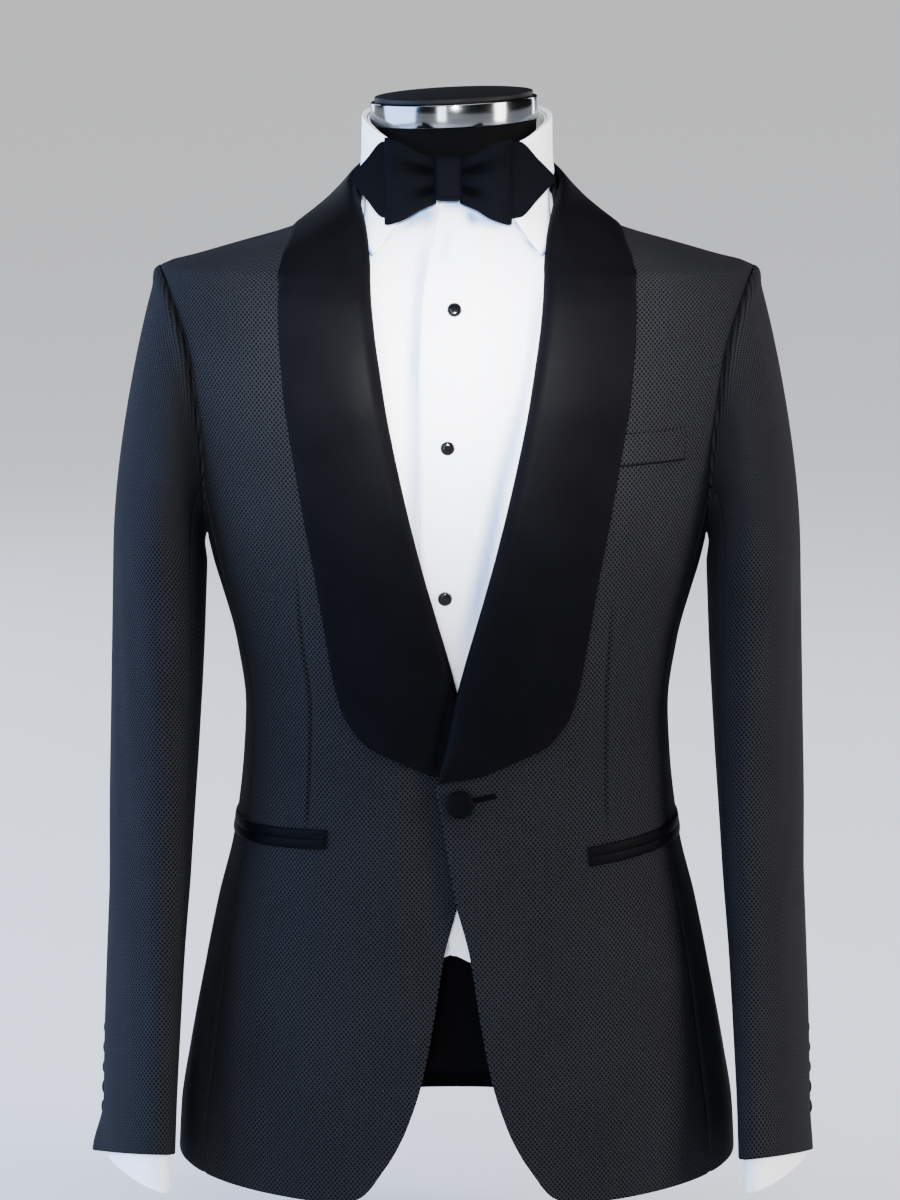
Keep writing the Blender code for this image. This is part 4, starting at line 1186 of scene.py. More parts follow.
def shirtFront(side, suffix, cotton):
    rows = shirtRows()[:, None]
    share = join(steps(0, 0.3, 0.012, 0.5), steps(0.3, 1, 0.05))[None, :]
    edge = turnAt(shirtEdge(rows) if side > 0 else shirtValues["underAcross"] + 0 * rows, rows)
    turn = turnAlong(edge, shirtOuter(rows), share, rows)
    x = bodyRing(turn * side, rows)[..., 0]
    height = rows + shirtHem(x, rows)
    base = bodyRing(turn * side, height)
    lift = shirtLift(rows) + 0 * turn
    if side < 0:
        sunk = smooth(base[..., 0], *shirtValues["underSinkAcross"])
        lift = lift - shirtValues["underSink"] * sunk
    folds = folded(base[..., 0], height, shirtFolds[suffix])
    lift = lift + folds * (1 - smooth(height, 800, 840))
    u = roundBody(turn, rows)
    grid = onBody(turn * side, height, lift) * (side, 1, 1)
    # Painted shade on the shirt: how far its colour is darkened towards pale blue and towards dark
    # shadow.
    paintedHollowShade = np.clip(folded(base[..., 0], height, shirtPaintedShade[suffix]), 0, 1)
    uv = points(u * side, height, paintedHollowShade)
    clothShell("shirtFront_" + suffix, grid, uv, shirtValues["wall"], cotton, side=side)


def shirtBack(cotton):
    rows = shirtRows()[:, None]
    at = steps(-1, 1, 0.06)[None, :]
    turn = turnBetween(180.0, 180 - shirtOuter(rows), np.abs(at), rows)
    turn = np.where(at >= 0, turn, 360 - turn)[:, ::-1]
    grid = onBody(turn, rows, shirtLift(rows))
    grid = grid if gridNormals(grid)[5, turn.shape[1] // 2, 1] > 0 else grid[:, ::-1]
    clothShell("shirtBack", grid, points(lengths(grid, 1), rows), shirtValues["wall"], cotton)


shirtSleeveValues = {"sunk": 9.5, "shrink": 5.0, "smaller": 6.0, "reach": 30.0}


def shirtSleeve(side, suffix, cotton):
    psis = np.arange(360, 0, -8.0)
    levels = join(steps(0, 1, 0.05), steps(1, 1.89, 0.03))[::-1]
    grid = sleeveGrid(psis, levels, **shirtSleeveValues)
    uv = points(lengths(grid, 1), -lengths(grid[::-1], 0)[::-1])
    name, wall = "shirtSleeve_" + suffix, shirtValues["wall"]
    clothShell(name, grid, uv, wall, cotton, wrap=True, side=side)


cuffValues = {
    "low": 93,
    "high": 158,
    "tilt": 8,
    "smaller": 4.4,
    "slant": (-2, 13),
    "wide": 44,
    "stitching": {"up": 6.0, "wide": 0.9, "deep": 0.35},
}


def shirtCuff(side, suffix, cotton):
    values = cuffValues
    psis = np.arange(360, 0, -5.0)[None, :]
    rows = join(steps(values["low"], 98, 0.8), steps(98, values["high"], 4.0))[:, None]
    share = (rows - values["low"]) / (values["high"] - values["low"])
    tilt = mix(values["tilt"], sleeveAt["tilt"](values["high"]), share)
    grid = sleeveRing(psis + 0 * rows, rows + 0 * psis, values["smaller"], tilt + 0 * psis)
    # The edge slants up towards the outside of the wrist.
    out = outwards(grid, values["low"], values["wide"])
    grid[..., 2] += mix(*values["slant"], out) * (1 - share) ** 1.5
    # A line of stitching runs round a few millimetres above the edge.
    line = values["stitching"]
    lift = seamRoll(rows - values["low"] - line["up"], line["deep"], line["wide"]) + 0 * psis
    grid = grid + gridNormals(grid, True) * lift[..., None]
    uv = points(lengths(grid, 1), rows)
    clothShell("cuff_" + suffix, grid, uv, shirtValues["wall"], cotton, wrap=True, side=side)


collarValues = {
    "top": table("turn height", (0, 862), (20, 867), (45, 878), (75, 889), (110, 894), (180, 897)),
    "stitching": {"up": 6.0, "wide": 0.8, "deep": 0.3},
    # The width of the painted shadow along the leaf's edge.
    "rim": 1.7,
}
collarTop = column(collarValues["top"], "turn", "height")
leafRows = table(
    "turn lowTurn lowHeight lift",
    (21, 36.5, 797, 0.6),
    (36, 46, 814, 0.4),
    (54, 62, 833, 0.8),
    (72, 76, 845, 2.6),
    (90, 90, 851, 3.8),
    (130, 130, 857, 4.4),
    (180, 180, 861, 4.4),
)


def fromFront(turn):
    turn = np.mod(turn, 360)
    return np.minimum(turn, 360 - turn)


def collarStand(cotton):
    turn = np.arange(0, 360, 5.0)[None, :]
    row = join(steps(0, 0.3, 0.1), steps(0.3, 1, 0.1))[:, None]
    height = mix(shirtValues["standLow"], collarTop(fromFront(turn)) - 1.4, row)
    lift = mix(shirtValues["shoulderLift"], 0.0, smooth(row, 0, 0.3))
    grid = onBody(turn, height, lift)
    uv = points(lengths(grid, 1), height)
    clothShell("collarStand", grid, uv, shirtValues["wall"], cotton, wrap=True)


def collarLeaf(cotton):
    lowTurn, lowHeight, lowLift = (
        column(leafRows, "turn", name) for name in ("lowTurn", "lowHeight", "lift")
    )
    turn = join(steps(21, 60, 1.5), steps(60, 300, 4.0), steps(300, 339, 1.5))[None, :]
    # From -1, inside the fold, over the fold at 0 and down to the edge at 1.
    edge = np.array([0.94, 0.97, 0.988, 1.0])
    at = join(steps(-1, 0, 0.14), steps(0, 0.94, 0.045), edge)[::-1, None]
    size = fromFront(turn)
    side = np.where(turn <= 180, 1, -1)
    inner, down = np.minimum(at, 0), np.clip(at, 0, 1)
    over = onBody(turn, collarTop(size) + 1.3 + 1.5 * inner, shirtValues["leafLift"] + 3.6 * inner)
    lying = mix(size, lowTurn(size), down) * side
    height = mix(collarTop(size), lowHeight(size), down)
    lift = mix(shirtValues["leafLift"], lowLift(size), smooth(down, 0.3, 1))
    leaf = onBody(lying, height, lift)
    grid = np.where((at < 0)[..., None], over, leaf)
    fromEdge = (1 - down) * np.linalg.norm(leaf[-1] - leaf[0], axis=-1)[None, :]
    line = collarValues["stitching"]
    stitched = seamRoll(fromEdge - line["up"], line["deep"], line["wide"]) * (at >= 0)
    grid = grid + gridNormals(grid) * stitched[..., None]
    # Painted shadow: a dark line painted along the leaf's edge, where it lies over the shirt.
    rim = hump(fromEdge, collarValues["rim"]) * (at >= 0)
    uv = points(lengths(grid, 1), height, rim)
    clothShell("collarLeaf", grid, uv, shirtValues["wall"], cotton)


# Pockets: satin jets at the hips and a cloth welt at the chest.
pocketValues = {
    "turns": (44, 100),
    "heights": {"l": (352, 358), "r": (365, 359)},
    "jet": 6.8,
    "lift": 1.6,
    "roll": 0.6,
    "wall": 1.1,
    "gap": 0.3,
}
weltValues = {
    "turns": (47, 64.3),
    "low": 645.8,
    "tip": 1.6,
    "tall": 23,
    "wide": 72,
    "lift": 1.6,
    "edgeDrop": (0.5, 1.8),
    "stitching": {"in": 4.0, "wide": 0.7, "deep": 0.4},
    "foot": 0.7,
    "paintedDitchShade": 0.05,
    "endShade": 0.45,
    "wall": 1.2,
}


def hipPocket(side, suffix, satin):
    values = pocketValues
    front, beside = values["heights"][suffix]
    first, last = values["turns"]
    at = steps(0, 1, 0.016, 0.4)[None, :]
    row = np.array([0, 0.05, 0.14, 0.3, 0.5, 0.7, 0.86, 0.95, 1.0])[:, None]
    middle = mix(front, beside, np.sin(math.pi / 2 * np.minimum(at * 1.2, 1)))
    for part, base in (("upper", values["gap"] / 2), ("lower", -values["gap"] / 2 - values["jet"])):
        turn = mix(first, last, at)
        height = middle + base + values["jet"] * row
        # Each jet is a soft roll of satin, fullest along its middle.
        full = np.sin(math.pi * np.clip(row, 0.02, 0.98)) ** 0.5
        lift = values["lift"] + values["roll"] * full
        grid = onBody(turn * side, height, lift) * (side, 1, 1)
        name, uv = f"jet{part.capitalize()}_{suffix}", points(lengths(grid, 1), height)
        clothShell(name, grid, uv, values["wall"], satin, side=side)


def breastWelt(wool):
    values = weltValues
    at = steps(0, 1, 0.03, 0.6)[None, :]
    row = steps(0, 1, 0.05, 0.6)[:, None]
    turn = mix(*values["turns"], at) + 0 * row
    height = values["low"] + values["tip"] * at + values["tall"] * row
    ends = np.minimum(at, 1 - at) * values["wide"]
    line = values["stitching"]
    lift = values["lift"] + seamRoll(ends, *values["edgeDrop"])
    lift = lift + seamRoll(ends - line["in"], line["deep"], line["wide"])
    # It stands prouder towards its foot, where it is sewn down; the ditch there is painted dark as
    # shade.
    lift = lift + values["foot"] * (1 - row) ** 3
    grid = onBody(turn, height, lift)
    # Painted shade: the ditch along the foot and a strip beside the outer end are painted dark.
    beside = values["endShade"] * hump(ends, 1.0) * (at > 0.5)
    paintedDitchShade = np.maximum(hump(row, values["paintedDitchShade"]), beside)
    uv = points(roundBody(turn, height[:, :1].ravel()), height, paintedDitchShade)
    clothShell("breastWelt", grid, uv, values["wall"], wool)


# Bow tie: a knot, a gathered loop each side of it, and a pointed end behind each loop.
bowValues = {
    "middle": -6.5,
    "height": 853,
    "front": -81.9,
    "knot": (21.5, 17, 33),
    "knotRound": 5.2,
    "wall": 1.4,
    "bandLow": 21,
    "bandTall": 15,
    "bandLift": 1.8,
    "bandWall": 1.0,
    "endReach": {"l": 1.12, "r": 1.0},
    # Place across the silk, width, depth and how far out it runs.
    "pleats": ((0.44, 0.17, 5.4, 52), (-0.42, 0.17, 4.8, 34), (0.06, 0.08, 1.0, 26)),
    "shadedPleat": 2,
    "pleatShade": 0.9,
    "gathers": 0.4,
    "puff": 1.6,
}
bowLoop = table(
    "across back half",
    (9, 1.5, 15.5),
    (20, -2, 20),
    (30, -3.5, 26),
    (40, -2.5, 30),
    (45, 0, 31),
    (46.5, 3, 31),
    (45, 5.5, 31),
    (34, 6, 27),
    (22, 5.5, 19),
    (9, 4.5, 14),
)
bowEnd = table(
    "across back half",
    (11.1, 6.2, 12),
    (24, 7.4, 21),
    (38, 8.2, 28),
    (48, 9.5, 27),
    (60, 13, 14),
    (70, 18, 2.5),
)


# Standing on edge along its path; gathers beside the knot fade out along the silk.
def bowSheet(side, name, path, middle, gather, silk, reach=1.0):
    values = bowValues
    run = lengths(points(path["across"], path["back"]), 0)
    rows = dict(path, run=run)
    t = steps(0, run[-1], 1.3)
    keys = ("across", "back", "half")
    across, back, half = (column(rows, "run", key)(t)[None, :] for key in keys)
    across = path["across"][0] + (across - path["across"][0]) * reach
    row = steps(-1, 1, 0.05, 0.4)[:, None]
    t = t[None, :]
    inFront = t < run[5]
    front = np.where(inFront, 1.0, 0.2)
    # Two deep pleats run out from the knot, with finer gathers between them.
    wave = values["gathers"] * np.cos(row * math.pi * 3.7 + 0.6) * (1 - smooth(across, 13, 36))
    paintedHollowShade = 0 * wave
    for place, wide, deep, end in values["pleats"]:
        pleatAndPaintedShade = hump(row - place, wide) * (1 - smooth(across, 11, end))
        wave = wave - deep * pleatAndPaintedShade * (0.3 + 0.7 * smooth(across, 9, 21))
        paintedHollowShade = np.maximum(paintedHollowShade, pleatAndPaintedShade * (deep > values["shadedPleat"]))
    y = values["front"] + back - gather * wave * front
    spread = smooth(across, 12, 30) * (1 - smooth(across, 36, 46))
    y = y - gather * values["puff"] * (1 - row**2) * spread * inFront
    grid = points(values["middle"] + side * across, y, middle + half * row) * (side, 1, 1)
    # The deep pleats carry painted shade, which the silk paints black.
    uv = points(t, half * row, values["pleatShade"] * gather * paintedHollowShade * front)
    clothShell(name, grid, uv, values["wall"], silk, side=side)


def bowBand(silk):
    turn = np.arange(0, 360, 5.0)[None, :]
    row = steps(0, 1, 0.15)[:, None]
    height = collarTop(fromFront(turn)) - bowValues["bandLow"] + bowValues["bandTall"] * row
    grid = onBody(turn, height, bowValues["bandLift"])
    uv = points(lengths(grid, 1), height)
    clothShell("bowBand", grid, uv, bowValues["bandWall"], silk, wrap=True)


# Hard pieces are turned up from primitives in edit mode, then set in place.
def selectParts(piece, kind, test):
    bpy.ops.object.mode_set(mode="EDIT")
    bpy.ops.mesh.select_mode(type=kind)
    bpy.ops.mesh.select_all(action="DESELECT")
    edit = bmesh.from_edit_mesh(piece.data)
    for part in edit.faces if kind == "FACE" else edit.edges:
        part.select_set(bool(test(part)))
    bmesh.update_edit_mesh(piece.data)


def topFace(face):
    return face.normal.z > 0.99 and len(face.verts) > 4


def disc(name, radius, depth, segments=48):
    bpy.ops.object.select_all(action="DESELECT")
    bpy.ops.mesh.primitive_cylinder_add(
        vertices=segments, radius=radius * mm, depth=depth * mm, location=(0, 0, depth * mm / 2)
    )
    piece = bpy.context.object
    piece.name = piece.data.name = name
    bpy.ops.object.transform_apply(location=True, rotation=True, scale=True)
    return piece


# Insets the top face and lifts it, once for each (inset, rise).
def crown(piece, levels):
    for inset, rise in levels:
        selectParts(piece, "FACE", topFace)
        if inset:
            bpy.ops.mesh.inset(thickness=inset * mm)
        bpy.ops.transform.translate(value=(0, 0, rise * mm))
    bpy.ops.object.mode_set(mode="OBJECT")


def bevelEdges(piece, test, offset, segments=3):
    selectParts(piece, "EDGE", test)
    bpy.ops.mesh.bevel(offset=offset * mm, segments=segments, affect="EDGES")
    bpy.ops.object.mode_set(mode="OBJECT")


rimAngle = 40


# Rounds every edge that turns more sharply than rimAngle.
def roundRims(piece, offset, segments=3):
    limit = math.radians(rimAngle)
    bevelEdges(piece, lambda edge: edge.calc_face_angle(0) > limit, offset, segments)


def setPiece(piece, place, material, node, smoothAngle=40):
    piece.matrix_world = place
    bpy.ops.object.select_all(action="DESELECT")
    piece.select_set(True)
    bpy.context.view_layer.objects.active = piece
    bpy.ops.object.transform_apply(location=True, rotation=True, scale=True)
    bpy.ops.object.shade_smooth_by_angle(angle=math.radians(smoothAngle))
    piece.data.materials.clear()
    piece.data.materials.append(material)
    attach(piece, "root")
    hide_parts(node)
    piece.select_set(False)


def facing(spot, normal):
    spot, normal = Vector(spot) * mm, Vector(normal)
    return Matrix.Translation(spot) @ normal.to_track_quat("Z", "Y").to_matrix().to_4x4()


buttonValues = {
    "front": {"across": 2, "height": 395, "radius": 11, "thick": 4.0},
    "cuff": {"radius": 6.9, "thick": 2.3, "rise": 30, "step": 14.4, "psi": 292, "count": 5},
    "stud": {"places": ((-2, 761), (-7, 660), (-9, 547)), "radius": 5.8, "setting": 1.3},
}
buttonholeValues = {
    "across": (10, 28.5),
    "heights": (397, 401),
    "half": 2.1,
    "lift": 0.35,
    "deep": 0.7,
    "bar": (0.86, 0.92),
    "wall": 0.3,
}


def frontButton(satin):
    values = buttonValues["front"]
    turn = turnAt(values["across"], values["height"])
    base, above = (onBody(turn, values["height"], lift) for lift in (0.4, 5.0))
    piece = disc("frontButton", values["radius"] * 0.93, values["thick"])
    crown(piece, ((0.7, 0.6), (1.4, 0.6), (2.6, 0.35), (2.8, 0.1)))
    bevelEdges(piece, lambda edge: all(abs(v.co.z) < 1e-6 for v in edge.verts), 1.2)
    setPiece(piece, facing(base, above - base), satin, "front_button", 60)


# A worked buttonhole beside the button: a slit between two rolls of stitching, barred at its end.
def buttonhole(thread):
    values = buttonholeValues
    at = steps(0, 1, 0.06)[None, :]
    row = np.array([-1, -0.8, -0.5, -0.25, -0.1, 0, 0.1, 0.25, 0.5, 0.8, 1.0])[:, None]
    height = mix(*values["heights"], at) + values["half"] * row
    turn = turnAt(mix(*values["across"], at) + 0 * row, height)
    barred = smooth(at, *values["bar"])
    roll = hump(np.abs(row) - 0.55, 0.3) * (1 - barred)
    bar = barred * (1 - smooth(np.abs(row), 0.6, 1))
    grid = onBody(turn, height, values["lift"] + values["deep"] * np.maximum(roll, bar))
    uv = points(lengths(grid, 1), lengths(grid, 0))
    made = clothShell("buttonhole", grid, uv, values["wall"], thread)


def sleeveButtons(satin):
    values = buttonValues["cuff"]
    start = disc("cuffButton", values["radius"] * 0.9, values["thick"], 32)
    crown(start, ((0.5, 0.45), (1.0, 0.35), (1.8, 0.2)))
    roundRims(start, 0.4, 2)
    span = sleeveCloth["top"] - sleeveCloth["hem"]
    for side, suffix in sides:
        for number in range(values["count"]):
            level = 2 - (values["rise"] + values["step"] * number) / span
            psi = values["psi"]
            spots = sleevePoint((psi, psi + 2, psi - 2, psi), (level, level, level, level + 0.01))
            normal = unit(np.cross(spots[1] - spots[2], spots[3] - spots[0]))
            normal = normal if normal[0] * math.cos(math.radians(psi)) > 0 else -normal
            spot = spots[0] + normal * 0.6
            flip = np.array([side, 1, 1])
            piece = start.copy()
            piece.data = start.data.copy()
            piece.name = f"cuffButton_{suffix}_{number + 1}"
            bpy.context.scene.collection.objects.link(piece)
            node = f"sleeve_button_{suffix}_{number + 1}"
            setPiece(piece, facing(spot * flip, normal * flip), satin, node, 60)
    bpy.data.objects.remove(start, do_unlink=True)


def shirtStuds(onyx, setting):
    values = buttonValues["stud"]
    for number, (across, height) in enumerate(values["places"], 1):
        turn = turnAt(across, height)
        base = onBody(turn, height, shirtLift(height) + 0.4)
        normal = onBody(turn, height, 9.0) - base
        piece = disc(f"stud_{number}", values["radius"] * 0.92, 0.9)
        crown(piece, ((0.45, 0.35), (0.0, 0.45), (0.6, 0.55), (1.0, 0.3), (1.1, 0.1)))
        setPiece(piece, facing(base, normal), onyx, f"shirt_stud_{number}", 50)
        piece.data.materials.append(setting)
        # The lowest faces are the metal setting.
        for face in piece.data.polygons:
            centre = (piece.matrix_world @ face.center) / mm
            away = (np.array(centre) - base) @ (normal / np.linalg.norm(normal))
            if away < values["setting"]:
                face.material_index = 1


ringValues = {"radius": 62, "high": 17, "middle": (-2, 5, 896), "tilt": 2.6}


def neckRingAndCap(steel, plastic):
    values = ringValues
    middle = Matrix.Translation(Vector(values["middle"]) * mm)
    place = middle @ Matrix.Rotation(-math.radians(values["tilt"]), 4, "Y")
    ring = disc("neckRing", values["radius"], values["high"], 128)
    roundRims(ring, 0.9, 3)
    half = values["high"] / 2
    lower = place @ Matrix.Translation((0, 0, -half * mm))
    setPiece(ring, lower, steel, "form_neck_ring")
    cap = disc("neckCap", values["radius"] - 3, 3.4, 96)
    crown(cap, ((1.5, 0.5), (6, 0.8), (14, 1.0), (18, 0.5)))
    roundRims(cap, 0.5, 2)
    upper = place @ Matrix.Translation((0, 0, (half + 0.3) * mm))
    setPiece(cap, upper, plastic, "form_cap", 50)


standValues = {"thick": 10, "half": (185, 112), "postAcross": 95, "postRadius": 7, "formLow": 190}


def stand(steel):
    values = standValues
    base = disc("standBase", 100, values["thick"], 96)
    for vertex in base.data.vertices:
        angle = math.atan2(vertex.co.y, vertex.co.x)
        reach = (abs(math.cos(angle)) ** 3 + abs(math.sin(angle)) ** 3) ** (-1 / 3)
        vertex.co.x = values["half"][0] * mm * math.cos(angle) * reach
        vertex.co.y = values["half"][1] * mm * math.sin(angle) * reach
    roundRims(base, 1.2, 3)
    setPiece(base, Matrix.Identity(4), steel, "stand_base")
    low = values["thick"] + 0.3
    for side, suffix in sides:
        post = disc("standPost_" + suffix, values["postRadius"], values["formLow"] - 0.3 - low, 48)
        place = Matrix.Translation((side * values["postAcross"] * mm, 0, low * mm))
        setPiece(post, place, steel, "stand_post_" + suffix)


formValues = {
    "lift": -14.5,
    "shoulderLift": -7.6,
    "low": 190,
    "neckLow": 860,
    "neckTop": 880,
    "frontDrop": 2.5,
    "backDrop": 2.4,
}


def formTorso(jersey):
    values = formValues
    body = steps(values["low"], cut["armTop"], 12.0)
    shoulder = steps(cut["armTop"], values["neckLow"], 3.0)
    neck = steps(values["neckLow"], values["neckTop"], 5.0)
    heights = np.unique(join(body, shoulder, neck))[:, None]
    half = steps(0, 1, 1 / 40)
    first = np.stack([turnBetween(0.0, 180.0, half, h) for h in heights[:, 0]])
    turn = np.concatenate((first, -first[:, -2:0:-1]), axis=1)
    size = fromFront(turn)
    front = (1 - smooth(size, 30, 70)) * (1 - smooth(heights, 829, 860))
    back = smooth(size, 90, 110) * (1 - smooth(heights, 800, 829))
    lift = mix(values["lift"], values["shoulderLift"], smooth(heights, 740, 788))
    lift = lift - values["frontDrop"] * front - values["backDrop"] * back
    grid = onBody(turn, heights, lift)
    grid[0, :, 2] = values["low"]
    rise = (grid[-1, :, 0] - ringValues["middle"][0]) * math.tan(math.radians(ringValues["tilt"]))
    grid[-1, :, 2] = ringValues["middle"][2] - ringValues["high"] / 2 - 0.3 + rise
    rows, columns = grid.shape[:2]
    numbers = np.arange(rows * columns).reshape(rows, columns)
    ahead = np.roll(numbers, -1, axis=1)
    quads = np.stack((numbers[:-1], ahead[:-1], ahead[1:], numbers[1:]), axis=-1)
    faces = quads.reshape(-1, 4).tolist() + [numbers[0, ::-1].tolist(), numbers[-1].tolist()]
    mesh = bpy.data.meshes.new("formTorso")
    mesh.from_pydata((grid.reshape(-1, 3) * mm).tolist(), [], faces)
    made = bpy.data.objects.new("formTorso", mesh)
    bpy.context.scene.collection.objects.link(made)
    setPiece(made, Matrix.Identity(4), jersey, "form_torso", 50)


def bowKnot(silk):
    wide, deep, tall = (size * mm for size in bowValues["knot"])
    bpy.ops.object.select_all(action="DESELECT")
    bpy.ops.mesh.primitive_cube_add(size=1)
    piece = bpy.context.object
    piece.name = piece.data.name = "bowKnot"
    piece.scale = (wide, deep, tall)
    bpy.ops.object.transform_apply(scale=True)
    bpy.ops.object.mode_set(mode="EDIT")
    bpy.ops.mesh.select_all(action="SELECT")
    bpy.ops.mesh.bevel(offset=bowValues["knotRound"] * mm, segments=5, affect="EDGES")
    bpy.ops.mesh.select_all(action="SELECT")
    bpy.ops.mesh.subdivide(number_cuts=5)
    bpy.ops.object.mode_set(mode="OBJECT")
    # Three soft vertical folds, and a waist where the silk is pulled round.
    for vertex in piece.data.vertices:
        x, y, z = vertex.co / mm
        waist = 1 - 0.07 * math.cos(math.pi * z / bowValues["knot"][2])
        vertex.co.x *= waist
        if y < 0:
            creaseAndPaintedShade = math.exp(-(((x - 3.4) / 1.3) ** 2)) + 0.8 * math.exp(-(((x + 4.2) / 1.5) ** 2))
            vertex.co.y += (0.9 * creaseAndPaintedShade + 0.004 * x * x) * mm
    middle = bowValues["middle"], bowValues["front"] + 4, bowValues["height"]
    place = Matrix.Translation(Vector(middle) * mm)
    setPiece(piece, place, silk, "bow_tie_knot", 60)


# Materials. Cloth patterns read the piece's own lengths, in metres, from its UV map. A pitch is in
# millimetres, and perMetre turns it into the angle that a wave goes through in a metre.
def perMetre(pitch):
    return math.tau / (pitch * mm)


# A wave from -1 to 1 along the cloth, at a slant from the weft.
def threadWave(tree, parts, pitch, slant):
    rise = math.radians(slant)
    across, up = math.cos(rise) * perMetre(pitch), math.sin(rise) * perMetre(pitch)
    first = addNode(tree, "Math", {0: parts.outputs[0], 1: across}, operation="MULTIPLY")
    whole = addNode(tree, "Math", {0: parts.outputs[1], 1: up, 2: first}, operation="MULTIPLY_ADD")
    return addNode(tree, "Math", {0: whole}, operation="SINE")


woolValues = {
    "pale": "232427",
    "dark": "030303",
    "across": 3.4,
    "up": 3.9,
    "waver": 0.9,
    "roughness": 0.9,
    "specular": 0.05,
    "bump": 0.55,
}


# Worsted wool in a bird's-eye weave: rows of small dark dots, set diamond-wise on charcoal. The
# real dots are about 2 mm apart; they are drawn a little coarser so that they show.
def birdseyeWool(values):
    material, tree = newMaterial("birdseyeWool")
    cloth = addNode(tree, "UVMap", uv_map="cloth")
    drift = addNode(tree, "TexNoise", {"Vector": cloth, "Scale": 45.0, "Detail": 2.0})
    waver = (values["waver"] * mm,) * 3
    moved = {0: drift.outputs["Color"], 1: waver, 2: cloth}
    drawn = addNode(tree, "VectorMath", moved, operation="MULTIPLY_ADD")
    parts = addNode(tree, "SeparateXYZ", {0: drawn})
    weft = threadWave(tree, parts, values["across"], 0)
    warp = threadWave(tree, parts, values["up"], 90)
    lattice = addNode(tree, "Math", {0: weft, 1: warp}, operation="MULTIPLY")
    dots = addNode(tree, "MapRange", {0: lattice, 1: -0.1, 2: 0.6}, interpolation_type="SMOOTHSTEP")
    fibre = addNode(tree, "TexNoise", {"Vector": cloth, "Scale": 850.0, "Detail": 3.0})
    patchy = addNode(tree, "TexNoise", {"Vector": cloth, "Scale": 11.0, "Detail": 2.0})
    ground = addNode(tree, "MapRange", {0: fibre, 1: 0.25, 2: 0.75, 3: 0.55, 4: 1.0})
    worn = addNode(tree, "MapRange", {0: patchy, 1: 0.3, 2: 0.7, 3: 0.82, 4: 1.0})
    shown = addNode(tree, "Math", {0: ground, 1: worn}, operation="MULTIPLY")
    gaps = addNode(tree, "Math", {0: 1.0, 1: dots}, operation="SUBTRACT")
    share = addNode(tree, "Math", {0: shown, 1: gaps}, operation="MULTIPLY")
    dark, pale = linear(values["dark"]), linear(values["pale"])
    # Painted shade: where a piece carries it, the colour is painted down to the dark thread colour.
    creaseAndPaintedShade = addNode(tree, "Attribute", attribute_name="creaseAndPaintedShade").outputs["Fac"]
    clear = addNode(tree, "Math", {0: 1.0, 1: creaseAndPaintedShade}, operation="SUBTRACT")
    lit = addNode(tree, "Math", {0: share, 1: clear}, operation="MULTIPLY")
    colour = addNode(tree, "Mix", {0: lit, 6: dark, 7: pale}, data_type="RGBA")
    raised = addNode(tree, "Math", {0: fibre, 1: 0.35, 2: gaps}, operation="MULTIPLY_ADD")
    relief = {"Strength": values["bump"], "Distance": 0.0004, "Height": raised}
    bump = addNode(tree, "Bump", relief)
    setShader(tree, Base_Color=colour.outputs[2], Roughness=values["roughness"], Normal=bump)
    setShader(tree, Specular_IOR_Level=values["specular"])
    return material


satinValues = {
    "dark": "030304",
    "light": "08080b",
    "thread": 0.9,
    "roughness": 0.5,
    "specular": 0.02,
    "anisotropic": 0.4,
}


# Warp-faced silk satin: black, with a soft broad gloss drawn out across the threads.
def blackSatin(values):
    material, tree = newMaterial("blackSatin")
    cloth = addNode(tree, "UVMap", uv_map="cloth")
    parts = addNode(tree, "SeparateXYZ", {0: cloth})
    threads = threadWave(tree, parts, values["thread"], 3)
    drift = addNode(tree, "TexNoise", {"Vector": cloth, "Scale": 26.0, "Detail": 2.0})
    dark, light = linear(values["dark"]), linear(values["light"])
    colour = addNode(tree, "Mix", {0: drift, 6: dark, 7: light}, data_type="RGBA")
    slub = addNode(tree, "Math", {0: threads, 1: 0.12, 2: drift}, operation="MULTIPLY_ADD")
    low = values["roughness"] - 0.06
    gloss = addNode(tree, "MapRange", {0: drift, 1: 0.2, 2: 0.8, 3: low, 4: low + 0.12})
    bump = addNode(tree, "Bump", {"Strength": 0.16, "Distance": 0.0002, "Height": slub})
    setShader(tree, Base_Color=colour.outputs[2], Roughness=gloss, Normal=bump)
    setShader(tree, Specular_IOR_Level=values["specular"], Anisotropic=values["anisotropic"])
    return material


cottonValues = {
    "white": "f8f9fb",
    "shade": "eff2f7",
    "paintedHollowShade": "8aa5d0",
    "shadow": "26324a",
    "thread": 1.1,
    "roughness": 0.85,
    "specular": 0.3,
    "sheen": 0.06,
}


